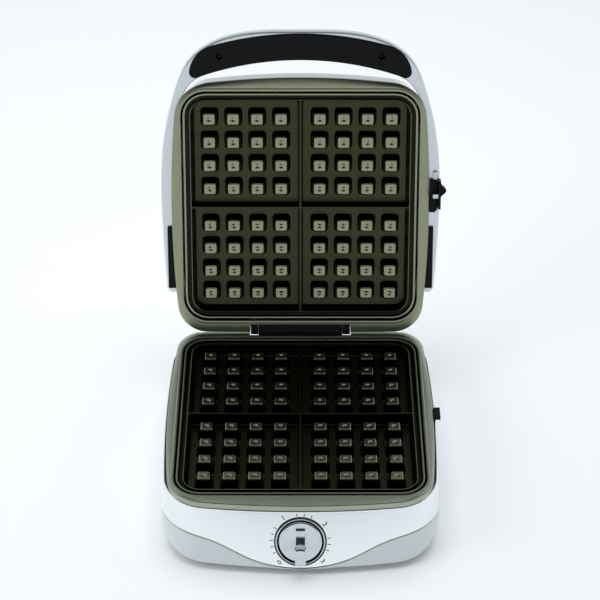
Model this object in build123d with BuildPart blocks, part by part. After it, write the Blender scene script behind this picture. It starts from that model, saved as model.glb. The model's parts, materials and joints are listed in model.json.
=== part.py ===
from build123d import *
import os
from math import asin, cos, degrees, radians, sin, tan

# Four-square waffle maker, lid open, in millimetres. +X right, +Y to the back, +Z up.
# The origin lies on the table under the middle of the object's own box.
# Base parts are drawn from BASE, whose origin is the middle of the lower waffle grid at peg-top height.
# Lid parts are drawn from LID, which reads like BASE with the lid shut and is swung back with the open lid.

# ---- driving dimensions ----
peg_pitch = 25.0
peg_middle = 40.4        # centre to centre of the pegs each side of a divider
pegs_a_row = 4
peg_top = 12.4
peg_foot = 17.6
peg_height = 14.0
peg_gap = 3.0            # between facing peg tops with the lid shut
peg_top_z = 72.0         # lower peg tops above the table
grid_y = -48.4           # middle of the lower grid in the object's frame

lid_open = 107.8         # degrees from shut
hinge_y = 136.4          # hinge axis, from the grid's middle
hinge_z = 3.9

rim_rise = 1.0           # plate rims stand this far over the peg tops
plate_half = 122.6
plate_front, plate_rear = -123.2, 123.6
plate_corner = 24.0
plate_floor = 3.0

frame_half = 136.0       # metal frame round each plate
frame_front, frame_rear = -139.3, 139.8
frame_corner, frame_rear_corner = 40.0, 32.0
frame_front_bow, frame_side_bow = 10.0, 7.7
frame_hole_half = 124.7
frame_hole_front, frame_hole_rear = -124.9, 126.0
frame_hole_corner = 26.0

skirt_z = -7.4           # under edge of the lower frame
side_seam_z = -36.0
floor_z = -66.0          # under face of the housing
wall = 2.0

knob_y, knob_z = -148.6, -38.7
panel_slope = 20.0       # degrees that the front leans out from upright
knob_r = 22.0
dial_r = 24.9

barrel_r = 5.6
barrel_half = 45.0
notch_half = 54.0
notch_y = 130.3

lid_frame_top = 7.8      # the lid frame runs from lid_face up to this
lid_face = peg_gap - rim_rise
lid_top = 56.0
bow_under, bow_over = 8.0, 31.0

latch_travel = 8.5

open_cos, open_sin = cos(radians(lid_open)), sin(radians(lid_open))

# ---- frames of reference ----
BASE = Plane(origin=(0, grid_y, peg_top_z))
lid_up = Vector(0, open_sin, open_cos)
lid_back = Vector(0, open_cos, -open_sin)
hinge_point = BASE.from_local_coords(Vector(0, hinge_y, hinge_z))
LID = Plane(origin=hinge_point - lid_back * hinge_y - lid_up * hinge_z, x_dir=(1, 0, 0), z_dir=lid_up)
LOWER_GRID = BASE
UPPER_GRID = Plane(origin=LID.from_local_coords(Vector(0, 0, peg_gap)), x_dir=(-1, 0, 0), z_dir=-lid_up)
KNOB = Plane(
    origin=BASE.from_local_coords(Vector(0, knob_y, knob_z)),
    x_dir=(1, 0, 0),
    z_dir=(0, -cos(radians(panel_slope)), sin(radians(panel_slope))),
)


def sideways(frame, x, y=0.0, z=0.0):
    """A plane that faces +X: its own x runs along the frame's y and its own y along the frame's z."""
    return Plane(origin=frame.from_local_coords(Vector(x, y, z)), x_dir=frame.y_dir, z_dir=frame.x_dir)


def facing_back(frame, y, x=0.0, z=0.0):
    """A plane that faces the frame's +y, with its own y along the frame's z."""
    return Plane(origin=frame.from_local_coords(Vector(x, y, z)), x_dir=-frame.x_dir, z_dir=frame.y_dir)


def save(part, name):
    """Labels a finished piece and writes its STEP file."""
    part.label = name
    export_step(part, f"parts/{name}.step")


# ---- outlines ----
def bowed_outline(half, front, rear, corner, front_bow, side_bow, rear_corner=None):
    """A rounded square whose sides are long shallow arcs, for frames and housings."""
    rear_bow = 0.8
    x, front_y, rear_y = half - side_bow, front + front_bow, rear - rear_bow
    middle = (front_y + rear_y) / 2
    with BuildSketch(Plane.XY) as outline:
        with BuildLine():
            ThreePointArc((-x, front_y), (0, front), (x, front_y))
            ThreePointArc((x, front_y), (half, middle), (x, rear_y))
            ThreePointArc((x, rear_y), (0, rear), (-x, rear_y))
            ThreePointArc((-x, rear_y), (-half, middle), (-x, front_y))
        make_face()
        fillet(outline.vertices().group_by(Axis.Y)[0], corner)
        fillet(outline.vertices().group_by(Axis.Y)[-1], rear_corner or corner)
    return outline.sketch


def frame_outline(inset=0.0):
    """The outside edge shared by the two metal frames and, set in, by the lid cover."""
    return bowed_outline(
        frame_half - inset,
        frame_front + inset,
        frame_rear - inset,
        frame_corner - inset,
        frame_front_bow,
        frame_side_bow,
        frame_rear_corner - inset,
    )


def squared_outline(half, front, rear, corner):
    """A plain rounded rectangle that need not be centred front to back."""
    with BuildSketch(Plane.XY) as outline:
        with Locations((0, (front + rear) / 2)):
            RectangleRounded(2 * half, rear - front, corner)
    return outline.sketch


def plate_outline(inset=0.0):
    """The outside edge of a waffle plate, set in."""
    return squared_outline(
        plate_half - inset, plate_front + inset, plate_rear - inset, plate_corner - inset
    )


def frame_hole():
    """The opening in each frame that its plate sits in."""
    return squared_outline(frame_hole_half, frame_hole_front, frame_hole_rear, frame_hole_corner)


# ---- waffle plates ----
rim_width, moat_width, ridge_width = 2.3, 4.6, 1.2
moat_depth = 3.0
well_taper = 12.0
peg_taper = degrees(asin((peg_foot - peg_top) / 2 / peg_height))
divider_top, divider_taper = 2.0, 6.0
divider_foot = divider_top + 2 * peg_height * tan(radians(divider_taper))
boss_at = (peg_middle + 3 * peg_pitch) / 2
boss_r, boss_drop, boss_hole = 5.0, 6.0, 2.05


def waffle_plate(side):
    """A cast plate: rim, overflow moat, four wells of pegs and a cross-shaped divider."""
    ridge = rim_width + moat_width
    well = ridge + ridge_width
    with BuildPart() as plate:
        with BuildSketch(side.offset(-peg_height - plate_floor)):
            add(plate_outline())
        extrude(amount=peg_height + plate_floor - moat_depth)
        with BuildSketch(side.offset(-moat_depth)):
            add(plate_outline())
            add(plate_outline(rim_width), mode=Mode.SUBTRACT)
        extrude(amount=moat_depth + rim_rise)
        with BuildSketch(side.offset(-moat_depth)):
            add(plate_outline(ridge))
        extrude(amount=moat_depth)
        with BuildSketch(side):
            add(plate_outline(well))
        extrude(amount=-peg_height, taper=well_taper, mode=Mode.SUBTRACT)
        with BuildSketch(side.offset(-peg_height)):
            with GridLocations(2 * boss_at, 2 * boss_at, 2, 2):
                with GridLocations(peg_pitch, peg_pitch, pegs_a_row, pegs_a_row):
                    RectangleRounded(peg_foot, peg_foot, 3.4)
        extrude(amount=peg_height, taper=peg_taper)
        with BuildSketch(side.offset(-peg_height)):
            Rectangle(divider_foot, 2 * (plate_half - well))
            Rectangle(2 * (plate_half - well), divider_foot)
        extrude(amount=peg_height, taper=divider_taper)
        with BuildSketch(side.offset(-peg_height - plate_floor)):
            with GridLocations(2 * boss_at, 2 * boss_at, 2, 2):
                Circle(boss_r)
        extrude(amount=-boss_drop)
        with BuildSketch(side.offset(-peg_height - plate_floor - boss_drop)):
            with GridLocations(2 * boss_at, 2 * boss_at, 2, 2):
                Circle(boss_hole)
        extrude(amount=boss_drop + 2, mode=Mode.SUBTRACT)
    return plate.part


# ---- heating parts, the same above and below ----
element_r = 3.3
element_z = -peg_height - plate_floor - element_r - 0.1
element_out, element_in = 84.0, 14.0
tray_rim_z = -peg_height - plate_floor - 0.2
tray_floor_z = tray_rim_z - 10.8
tray_sheet = 0.8


def heating_element(side):
    """A sheathed tube in one loop under the plate, with both ends at the back."""
    with BuildPart() as element:
        with BuildLine(side.offset(element_z)) as route:
            FilletPolyline(
                (-element_in, 106),
                (-element_in, element_out),
                (-element_out, element_out),
                (-element_out, -element_out),
                (element_out, -element_out),
                (element_out, element_out),
                (element_in, element_out),
                (element_in, 106),
                radius=10,
            )
        with BuildSketch(Plane(origin=route.line @ 0, z_dir=route.line % 0)):
            Circle(element_r)
        sweep()
    return element.part


def reflector(side, holes=()):
    """A thin tray that closes the back of the plate, keeps the heat in and carries the four plate screws."""
    with BuildPart() as tray:
        with BuildSketch(side.offset(tray_floor_z)):
            add(plate_outline(4))
        extrude(amount=tray_rim_z - tray_floor_z)
        with BuildSketch(side.offset(tray_floor_z + tray_sheet)):
            add(plate_outline(4 + tray_sheet))
        extrude(amount=tray_rim_z - tray_floor_z, mode=Mode.SUBTRACT)
        with BuildSketch(side.offset(tray_floor_z)):
            with GridLocations(2 * boss_at, 2 * boss_at, 2, 2):
                Circle(boss_hole + 0.2)
            with Locations(*holes):
                Circle(3.0)
        extrude(amount=tray_sheet, mode=Mode.SUBTRACT)
    return tray.part


def plate_screws(side):
    """Four screws up through the tray into the plate's bosses."""
    with BuildPart() as screws:
        with BuildSketch(side.offset(tray_floor_z - 2.4)):
            with GridLocations(2 * boss_at, 2 * boss_at, 2, 2):
                Circle(3.8)
        extrude(amount=2.4)
        with BuildSketch(side.offset(tray_floor_z)):
            with GridLocations(2 * boss_at, 2 * boss_at, 2, 2):
                Circle(2.0)
        extrude(amount=9.0)
    return screws.part


def thermal_fuse(side):
    """A sleeved one-shot fuse strapped against the back of the plate."""
    with BuildPart() as fuse:
        with BuildSketch(sideways(side, -12, 28, element_z)):
            Circle(2.9)
        extrude(amount=24)
        fillet(fuse.edges().filter_by(GeomType.CIRCLE), 0.8)
    return fuse.part


# ---- housing ----
housing_levels = (
    # height, half width, front, rear, corner, front bow
    (skirt_z, 139.0, -137.9, 138.2, 46.0, 10.7),
    (side_seam_z, 141.0, -148.3, 139.6, 47.0, 12.2),
    (-52.0, 139.6, -154.2, 138.4, 46.0, 13.4),
    (floor_z, 134.0, -159.4, 132.0, 44.0, 14.6),
)
housing_side_bow = 5.8


def housing_wall():
    """The whole outer wall of the base, before it is parted along the seam."""
    with BuildPart() as skin:
        for inset, mode in ((0.0, Mode.ADD), (wall, Mode.SUBTRACT)):
            for z, half, front, rear, corner, bow in housing_levels:
                with BuildSketch(BASE.offset(z)):
                    add(
                        bowed_outline(
                            half - inset, front + inset, rear - inset, corner - inset, bow, housing_side_bow
                        )
                    )
            loft(ruled=True, mode=mode)
    return skin.part


scoop_half, scoop_back = 122.0, -60.0
scoop_points = ((78.0, -43.7), (50.0, -56.8), (25.0, -64.2))
scoop_lowest = -66.4
seam_gap = 0.6


def under_seam(gap):
    """The space below the seam: it dips in a wide scoop across the front and runs level round the rest."""
    reach, low, seam = 170.0, -90.0, side_seam_z + 1 - gap
    with BuildPart() as below:
        with BuildSketch(facing_back(BASE, -reach)):
            with BuildLine():
                Spline(
                    (-scoop_half, seam),
                    *[(-x, z - gap) for x, z in scoop_points],
                    (0, scoop_lowest - gap),
                    *[(x, z - gap) for x, z in reversed(scoop_points)],
                    (scoop_half, seam),
                    tangents=((1, 0), (1, 0)),
                )
                Polyline(
                    (scoop_half, seam),
                    (reach, seam),
                    (reach, low),
                    (-reach, low),
                    (-reach, seam),
                    (-scoop_half, seam),
                )
            make_face()
        extrude(amount=reach + scoop_back)
        with BuildSketch(facing_back(BASE, scoop_back)):
            with Locations((0, (seam + low) / 2)):
                Rectangle(2 * reach, seam - low)
        extrude(amount=reach - scoop_back)
    return below.part


def upper_shell():
    """The bright upper housing with the control panel, parted from the lower shell by the seam."""
    with BuildPart() as shell:
        add(housing_wall())
        add(under_seam(0.0), mode=Mode.SUBTRACT)
        with BuildSketch(KNOB.offset(-12)):
            Circle(dial_r + 0.1)
        extrude(amount=20, mode=Mode.SUBTRACT)
        with BuildSketch(facing_back(BASE, 125)):
            with Locations((0, -8)):
                Rectangle(2 * barrel_half + 1, 12)
        extrude(amount=25, mode=Mode.SUBTRACT)
    return shell.part


gland_x, gland_z = 84.0, -50.0
gland_body_r, cord_r = 7.0, 3.75


def lower_shell():
    """The silver lower housing that carries the bottom cover."""
    with BuildPart() as shell:
        add(housing_wall())
        add(under_seam(seam_gap), mode=Mode.INTERSECT)
        with BuildSketch(facing_back(BASE, 120, gland_x, gland_z)):
            Circle(gland_body_r + 0.1)
        extrude(amount=30, mode=Mode.SUBTRACT)
    return shell.part


foot_places = [(side * x, y) for side in (-1, 1) for x, y in ((98.0, -112.0), (92.0, 117.0))]
screw_places = [(x, y) for x in (-112, 112) for y in (-78, 78)]
_, cover_half, cover_front, cover_rear, cover_corner, cover_bow = housing_levels[-1]
cover_thick = 2.4
vent_count, vent_pitch = 9, 9.0


def bottom_cover():
    """The flat floor of the base, with two rows of cooling slots."""
    fit = wall + 1.0
    with BuildPart() as cover:
        with BuildSketch(BASE.offset(floor_z)):
            add(
                bowed_outline(
                    cover_half - fit,
                    cover_front + fit,
                    cover_rear - fit,
                    cover_corner - fit,
                    cover_bow,
                    housing_side_bow,
                )
            )
            with GridLocations(vent_pitch, 110, vent_count, 2):
                SlotOverall(34, 4, rotation=90, mode=Mode.SUBTRACT)
            with Locations(*screw_places):
                Circle(2.0, mode=Mode.SUBTRACT)
            with Locations((0, cover_front + 8)):
                Rectangle(2 * dial_r + 8, 26, mode=Mode.SUBTRACT)
        extrude(amount=cover_thick)
    return cover.part


def feet():
    """Four rubber feet."""
    with BuildPart() as pads:
        with BuildSketch(BASE.offset(floor_z)):
            with Locations(*foot_places):
                Circle(9.5)
        extrude(amount=-(peg_top_z + floor_z), taper=10)
    return pads.part


def bottom_screws():
    """Four screws that hold the bottom cover up to the shell."""
    with BuildPart() as screws:
        with BuildSketch(BASE.offset(floor_z)):
            with Locations(*screw_places):
                Circle(3.6)
        extrude(amount=-1.8)
        with BuildSketch(BASE.offset(floor_z)):
            with Locations(*screw_places):
                Circle(1.8)
        extrude(amount=12)
    return screws.part


step_half, step_y, step_z = 109.0, 131.5, -1.8


def base_bezel():
    """The lower metal frame: a flat ring with a skirt, stepped down at the back to let the lid swing past."""
    with BuildPart() as ring:
        with BuildSketch(BASE.offset(skirt_z)):
            add(frame_outline())
            add(frame_hole(), mode=Mode.SUBTRACT)
        extrude(amount=rim_rise - skirt_z)
        with BuildSketch(BASE.offset(step_z)):
            with Locations((0, step_y + 10)):
                Rectangle(2 * step_half, 20)
        extrude(amount=10, mode=Mode.SUBTRACT)
        with BuildSketch(BASE.offset(skirt_z)):
            with Locations((0, notch_y + 10)):
                Rectangle(2 * notch_half + 1, 20)
        extrude(amount=20, mode=Mode.SUBTRACT)
    return ring.part


# ---- controls ----
shaft_r = 3.0
cup_depth = 9.0


def dial_ring():
    """The dark-lined cup that the knob turns in."""
    with BuildPart() as cup:
        with BuildSketch(KNOB.offset(-cup_depth)):
            Circle(dial_r)
        extrude(amount=cup_depth + 0.4)
        with BuildSketch(KNOB.offset(-cup_depth + 2)):
            Circle(knob_r + 1.0)
        extrude(amount=cup_depth, mode=Mode.SUBTRACT)
        with BuildSketch(KNOB.offset(-cup_depth)):
            Circle(5.2)
        extrude(amount=2, mode=Mode.SUBTRACT)
    return cup.part


def control_knob():
    """A round knob with a bar grip right across it."""
    back, face, grip_top = -5.5, 2.2, 12.5
    with BuildPart() as knob:
        with BuildSketch(KNOB.offset(back)):
            Circle(knob_r)
        extrude(amount=face - back)
        fillet(knob.faces().sort_by(Axis(KNOB.origin, KNOB.z_dir))[-1].edges(), 1.2)
        with BuildSketch(KNOB.offset(face - 0.5)):
            SlotOverall(2 * knob_r - 1.0, 10.6, rotation=90)
        extrude(amount=grip_top - face + 0.5)
        with BuildSketch(KNOB.offset(back)):
            Circle(shaft_r)
        extrude(amount=9.5, mode=Mode.SUBTRACT)
        with BuildSketch(KNOB.offset(back)):
            Circle(4.6)
        extrude(amount=1.3, mode=Mode.SUBTRACT)
    return knob.part


def knob_shaft():
    """The thermostat's turned spindle, which the knob pushes on to."""
    with BuildPart() as shaft:
        with BuildSketch(KNOB.offset(-28)):
            Circle(shaft_r)
        extrude(amount=28 + 3.8)
    return shaft.part


def knob_clip():
    """The split spring ring that keeps the knob on its spindle."""
    with BuildPart() as clip:
        with BuildSketch(KNOB.offset(-5.4)):
            Circle(4.4)
            Circle(shaft_r + 0.02, mode=Mode.SUBTRACT)
            with Locations((4, 0)):
                Rectangle(4, 1.6, mode=Mode.SUBTRACT)
        extrude(amount=1.0)
    return clip.part


def thermostat():
    """The switch body behind the panel, with the bush that the spindle turns in."""
    with BuildPart() as switch:
        with BuildSketch(KNOB.offset(-31)):
            RectangleRounded(36, 28, 3)
        extrude(amount=17)
        with BuildSketch(KNOB.offset(-14)):
            Circle(5.0)
        extrude(amount=6.2)
        with BuildSketch(KNOB.offset(-29)):
            Circle(shaft_r + 0.06)
        extrude(amount=40, mode=Mode.SUBTRACT)
    return switch.part


probe_x = 12.0


def thermostat_probe():
    """The sensing bulb under the plate and its capillary from the thermostat."""
    tube_r, bulb_r = 0.9, 2.8
    with BuildPart() as probe:
        with BuildLine(sideways(BASE, probe_x)) as route:
            FilletPolyline((-112, -45), (-66, -45), (-66, element_z), (-50, element_z), radius=7)
        with BuildSketch(Plane(origin=route.line @ 0, z_dir=route.line % 0)):
            Circle(tube_r)
        sweep()
        with BuildSketch(facing_back(BASE, -51, probe_x, element_z)):
            Circle(bulb_r)
        extrude(amount=46)
    return probe.part


def terminal_block():
    """The block where the mains lead meets the inside wiring."""
    block_z, block_rise = floor_z + cover_thick + 0.1, 13.0
    with BuildPart() as block:
        with BuildSketch(BASE.offset(block_z)):
            with Locations((gland_x - 34, 96)):
                RectangleRounded(34, 18, 2)
        extrude(amount=block_rise)
        with BuildSketch(BASE.offset(block_z + block_rise)):
            with Locations((gland_x - 34, 96)):
                with GridLocations(10, 9, 3, 2):
                    Circle(2.4)
        extrude(amount=-5, mode=Mode.SUBTRACT)
    return block.part


def cord_gland():
    """The grommet in the rear wall that the mains lead passes through."""
    inside, outside = 128.8, 143.6
    with BuildPart() as gland:
        with BuildSketch(facing_back(BASE, inside, gland_x, gland_z)):
            Circle(gland_body_r)
        extrude(amount=outside - inside)
        with BuildSketch(facing_back(BASE, outside - 3.2, gland_x, gland_z)):
            Circle(gland_body_r + 2.6)
        extrude(amount=3.2)
        with BuildSketch(facing_back(BASE, inside, gland_x, gland_z)):
            Circle(gland_body_r + 2.0)
        extrude(amount=3.0)
        with BuildSketch(facing_back(BASE, inside, gland_x, gland_z)):
            Circle(cord_r)
        extrude(amount=outside - inside, mode=Mode.SUBTRACT)
    return gland.part


# ---- hinge ----
pin_r, bush_r = 3.0, 4.2
knuckle_in, knuckle_out = 45.4, 53.4


def hinge_barrel():
    """The fixed black barrel, its web down through the frame and its foot inside the base."""
    with BuildPart() as barrel:
        with BuildSketch(sideways(BASE, -barrel_half, hinge_y, hinge_z)):
            Circle(barrel_r)
        extrude(amount=2 * barrel_half)
        with BuildSketch(sideways(BASE, -barrel_half)):
            with BuildLine():
                Polyline(
                    (131.0, hinge_z),
                    (131.0, -28.4),
                    (110.0, -28.4),
                    (110.0, -31.0),
                    (135.4, -31.0),
                    (135.4, -9.5),
                    (140.6, -8.0),
                    (141.6, hinge_z),
                    close=True,
                )
            make_face()
        extrude(amount=2 * barrel_half)
        with BuildSketch(sideways(BASE, -barrel_half, hinge_y, hinge_z)):
            Circle(pin_r + 0.02)
        extrude(amount=2 * barrel_half, mode=Mode.SUBTRACT)
    return barrel.part


def hinge_pin():
    """The steel rod through the barrel and both lid knuckles."""
    with BuildPart() as pin:
        with BuildSketch(sideways(BASE, -knuckle_out, hinge_y, hinge_z)):
            Circle(pin_r)
        extrude(amount=2 * knuckle_out)
    return pin.part


def hinge_bushes():
    """The two bronze bushes that the lid turns on."""
    with BuildPart() as bushes:
        for start in (-knuckle_out, knuckle_in):
            with BuildSketch(sideways(LID, start, hinge_y, hinge_z)):
                Circle(bush_r)
                Circle(pin_r + 0.06, mode=Mode.SUBTRACT)
            extrude(amount=knuckle_out - knuckle_in)
    return bushes.part


strip_under, strip_over, strip_y = 8.1, 10.6, 129.3
strip_screw_places = [(-62, strip_y), (62, strip_y)]


def lid_hinge_bracket():
    """The steel strip screwed to the lid frame, with a knuckle at each end of the fixed barrel."""
    with BuildPart() as bracket:
        with BuildSketch(LID.offset(strip_under)):
            with Locations((0, strip_y)):
                Rectangle(144, 5.4)
        extrude(amount=strip_over - strip_under)
        for start in (-knuckle_out, knuckle_in):
            with BuildSketch(sideways(LID, start)):
                with BuildLine():
                    Polyline(
                        (126.6, strip_under),
                        (126.6, strip_over),
                        (139.0, strip_over),
                        (142.0, hinge_z + 3),
                        (142.0, hinge_z),
                        (130.8, hinge_z),
                        (130.8, strip_under),
                        close=True,
                    )
                make_face()
                with Locations((hinge_y, hinge_z)):
                    Circle(barrel_r)
                    Circle(bush_r, mode=Mode.SUBTRACT)
            extrude(amount=knuckle_out - knuckle_in)
        with BuildSketch(LID.offset(strip_under)):
            with Locations(*strip_screw_places):
                Circle(1.6)
        extrude(amount=strip_over - strip_under, mode=Mode.SUBTRACT)
    return bracket.part


# ---- lid ----
def lid_bezel():
    """The upper metal frame, notched at the back for the hinge."""
    with BuildPart() as ring:
        with BuildSketch(LID.offset(lid_face)):
            add(frame_outline())
            add(frame_hole(), mode=Mode.SUBTRACT)
            with Locations((0, notch_y + 10)):
                Rectangle(2 * notch_half, 20, mode=Mode.SUBTRACT)
        extrude(amount=lid_frame_top - lid_face)
        with BuildSketch(LID.offset(lid_frame_top)):
            with Locations(*strip_screw_places):
                Circle(1.6)
        extrude(amount=-4, mode=Mode.SUBTRACT)
    return ring.part


cover_wall, cover_inset = 1.0, 1.5
dome_round = 22.0


def lid_dome(sheet):
    """The solid form of the cap, smaller all over by one thickness."""
    with BuildPart() as dome:
        with BuildSketch(LID.offset(lid_frame_top)):
            add(frame_outline(cover_inset + sheet))
        extrude(amount=lid_top - sheet - lid_frame_top)
        fillet(dome.faces().sort_by(Axis(LID.origin, LID.z_dir))[-1].edges(), dome_round - sheet)
    return dome.part


def lid_cover():
    """The polished lid: a deep rounded cap over the frame, open at the back for the hinge strip."""
    with BuildPart() as cap:
        add(lid_dome(0.0))
        add(lid_dome(cover_wall), mode=Mode.SUBTRACT)
        with BuildSketch(facing_back(LID, 120)):
            with Locations((0, lid_frame_top + 7)):
                Rectangle(2 * notch_half, 14)
        extrude(amount=30, mode=Mode.SUBTRACT)
    return cap.part


def handle_outline():
    """Outside edge of the handle bow, from one arm's end round the front to the other's."""
    side = [(94.8, -173.2), (115.6, -156.8), (129.8, -127.5), (143.5, -71.0), (147.2, 5.0), (143.4, 88.0)]
    with BuildSketch(Plane.XY) as outline:
        with BuildLine():
            Spline(
                *[(-x, y) for x, y in reversed(side)],
                (0, -187.1),
                *side,
                tangents=((-0.07, -1), (-0.07, 1)),
            )
            ThreePointArc((143.4, 88.0), (139.0, 103.0), (131.0, 96.0))
            Line((131.0, 96.0), (-131.0, 96.0))
            ThreePointArc((-131.0, 96.0), (-139.0, 103.0), (-143.4, 88.0))
        make_face()
    return outline.sketch


def finger_gap():
    """The gap between the handle and the lid's front edge."""
    with BuildSketch(Plane.XY) as outline:
        with BuildLine():
            ThreePointArc((108.6, -137.6), (0, -156.5), (-108.6, -137.6))
            Line((-108.6, -137.6), (-108.6, -100))
            Line((-108.6, -100), (108.6, -100))
            Line((108.6, -100), (108.6, -137.6))
        make_face()
    return outline.sketch


def grip_outline():
    """The dark grip let into the front of the handle."""
    with BuildSketch(Plane.XY) as outline:
        with BuildLine():
            ThreePointArc((-94.0, -171.2), (0, -184.6), (94.0, -171.2))
            ThreePointArc((94.0, -171.2), (108.2, -161.2), (115.2, -146.0))
            ThreePointArc((115.2, -146.0), (114.0, -140.0), (108.6, -137.6))
            ThreePointArc((108.6, -137.6), (0, -156.5), (-108.6, -137.6))
            ThreePointArc((-108.6, -137.6), (-114.0, -140.0), (-115.2, -146.0))
            ThreePointArc((-115.2, -146.0), (-108.2, -161.2), (-94.0, -171.2))
        make_face()
    return outline.sketch


grip_over = 24.0
grip_screw_places = [(-84, -160.5), (84, -160.5)]


def handle_bow():
    """The silver bow that runs up both sides of the lid and across the front."""
    with BuildPart() as bow:
        with BuildSketch(LID.offset(bow_under)):
            add(handle_outline())
            add(frame_outline(0.8), mode=Mode.SUBTRACT)
            add(finger_gap(), mode=Mode.SUBTRACT)
            with Locations((0, 150)):
                Rectangle(2 * 131.0, 110, mode=Mode.SUBTRACT)
        extrude(amount=bow_over - bow_under)
        with BuildSketch(LID.offset(bow_under)):
            add(grip_outline())
        extrude(amount=grip_over - bow_under, mode=Mode.SUBTRACT)
        with BuildSketch(LID.offset(grip_over)):
            with Locations(*grip_screw_places):
                Circle(1.8)
        extrude(amount=4, mode=Mode.SUBTRACT)
    return bow.part


def handle_grip():
    """The dark moulded grip, standing a little proud of the bow's under face."""
    with BuildPart() as grip:
        with BuildSketch(LID.offset(bow_under - 1.0)):
            add(grip_outline())
        extrude(amount=grip_over - bow_under + 1.0)
        with BuildSketch(LID.offset(bow_under - 1.0)):
            with Locations(*grip_screw_places):
                Circle(3.4)
        extrude(amount=8, mode=Mode.SUBTRACT)
        with BuildSketch(LID.offset(bow_under - 1.0)):
            with Locations(*grip_screw_places):
                Circle(1.8)
        extrude(amount=20, mode=Mode.SUBTRACT)
    return grip.part


def grip_screws():
    """Two screws sunk in the grip that hold it to the bow."""
    with BuildPart() as screws:
        with BuildSketch(LID.offset(bow_under + 4.6)):
            with Locations(*grip_screw_places):
                Circle(3.0)
        extrude(amount=2.4)
        with BuildSketch(LID.offset(bow_under + 7.0)):
            with Locations(*grip_screw_places):
                Circle(1.6)
        extrude(amount=12)
    return screws.part


pad_under = 4.4


def arm_pads():
    """Dark spacers between each handle arm and the lid frame."""
    with BuildPart() as pads:
        with BuildSketch(LID.offset(pad_under)):
            with Locations((-137, 56), (137, 56)):
                Rectangle(8, 68)
            add(handle_outline(), mode=Mode.INTERSECT)
            add(frame_outline(-0.1), mode=Mode.SUBTRACT)
        extrude(amount=bow_under - pad_under)
    return pads.part


def lid_screws():
    """Two screws that fix the hinge strip to the lid frame."""
    with BuildPart() as screws:
        with BuildSketch(LID.offset(strip_over)):
            with Locations(*strip_screw_places):
                Circle(2.6)
        extrude(amount=1.8)
        with BuildSketch(LID.offset(strip_over)):
            with Locations(*strip_screw_places):
                Circle(1.5)
        extrude(amount=-6)
    return screws.part


# ---- latch on the right ----
housing_in, housing_out = 136.2, 144.6
toe_front, toe_rear = -17.0, -12.5
tongue_under = -2.8


def latch_housing():
    """The dark block on the lid's right side that the latch slides along."""
    with BuildPart() as block:
        with BuildSketch(LID.offset(lid_face + 0.1)):
            with Locations(((housing_in + housing_out) / 2, -12.6)):
                Rectangle(housing_out - housing_in, 35.2)
        extrude(amount=bow_under - lid_face - 0.1)
        chamfer(block.edges().filter_by(Axis(LID.origin, LID.z_dir)).sort_by(Axis.X)[-2:], 3.0)
    return block.part


def latch_detent():
    """The small bright spring plate that clicks the latch into place."""
    with BuildPart() as plate:
        with BuildSketch(LID.offset(4.2)):
            with Locations((142.0, -34.4)):
                RectangleRounded(4.6, 8.2, 1.2)
        extrude(amount=bow_under - 4.2)
    return plate.part


def latch_slider():
    """The thumb piece: a plate on the block's outer face with a pointed thumb rest."""
    plate_in, plate_out = 144.8, 147.4
    with BuildPart() as slider:
        with BuildSketch(sideways(LID, plate_in)):
            with Locations((-15.5, 0.6)):
                RectangleRounded(31, 14.4, 2.5)
        extrude(amount=plate_out - plate_in)
        with BuildSketch(LID.offset(-2.0)):
            with BuildLine():
                Line((plate_out, -28.0), (plate_out, -11.0))
                Spline(
                    (plate_out, -11.0),
                    (149.6, -15.0),
                    (153.4, -19.5),
                    (149.6, -24.0),
                    (plate_out, -28.0),
                )
            make_face()
        extrude(amount=9.0)
    return slider.part


def latch_hook():
    """The steel toe that runs under the catch's tongue when the latch is pushed home."""
    with BuildPart() as hook:
        with BuildSketch(LID.offset(-6.4)):
            with Locations(((139.0 + 144.8) / 2, (toe_front + toe_rear) / 2)):
                Rectangle(144.8 - 139.0, toe_rear - toe_front)
        extrude(amount=3.2)
    return hook.part


def latch_catch():
    """The dark block on the base's right side, with the tongue that the hook goes under."""
    with BuildPart() as block:
        with BuildSketch(BASE.offset(skirt_z + 0.2)):
            with Locations((139.6, 0)):
                Rectangle(6.8, 16)
        extrude(amount=rim_rise - skirt_z - 0.2)
        with BuildSketch(BASE.offset(skirt_z + 0.2)):
            with Locations((141.0, -3.0)):
                Rectangle(6.0, 12.0)
        extrude(amount=tongue_under - skirt_z - 0.2, mode=Mode.SUBTRACT)
    return block.part


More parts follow.
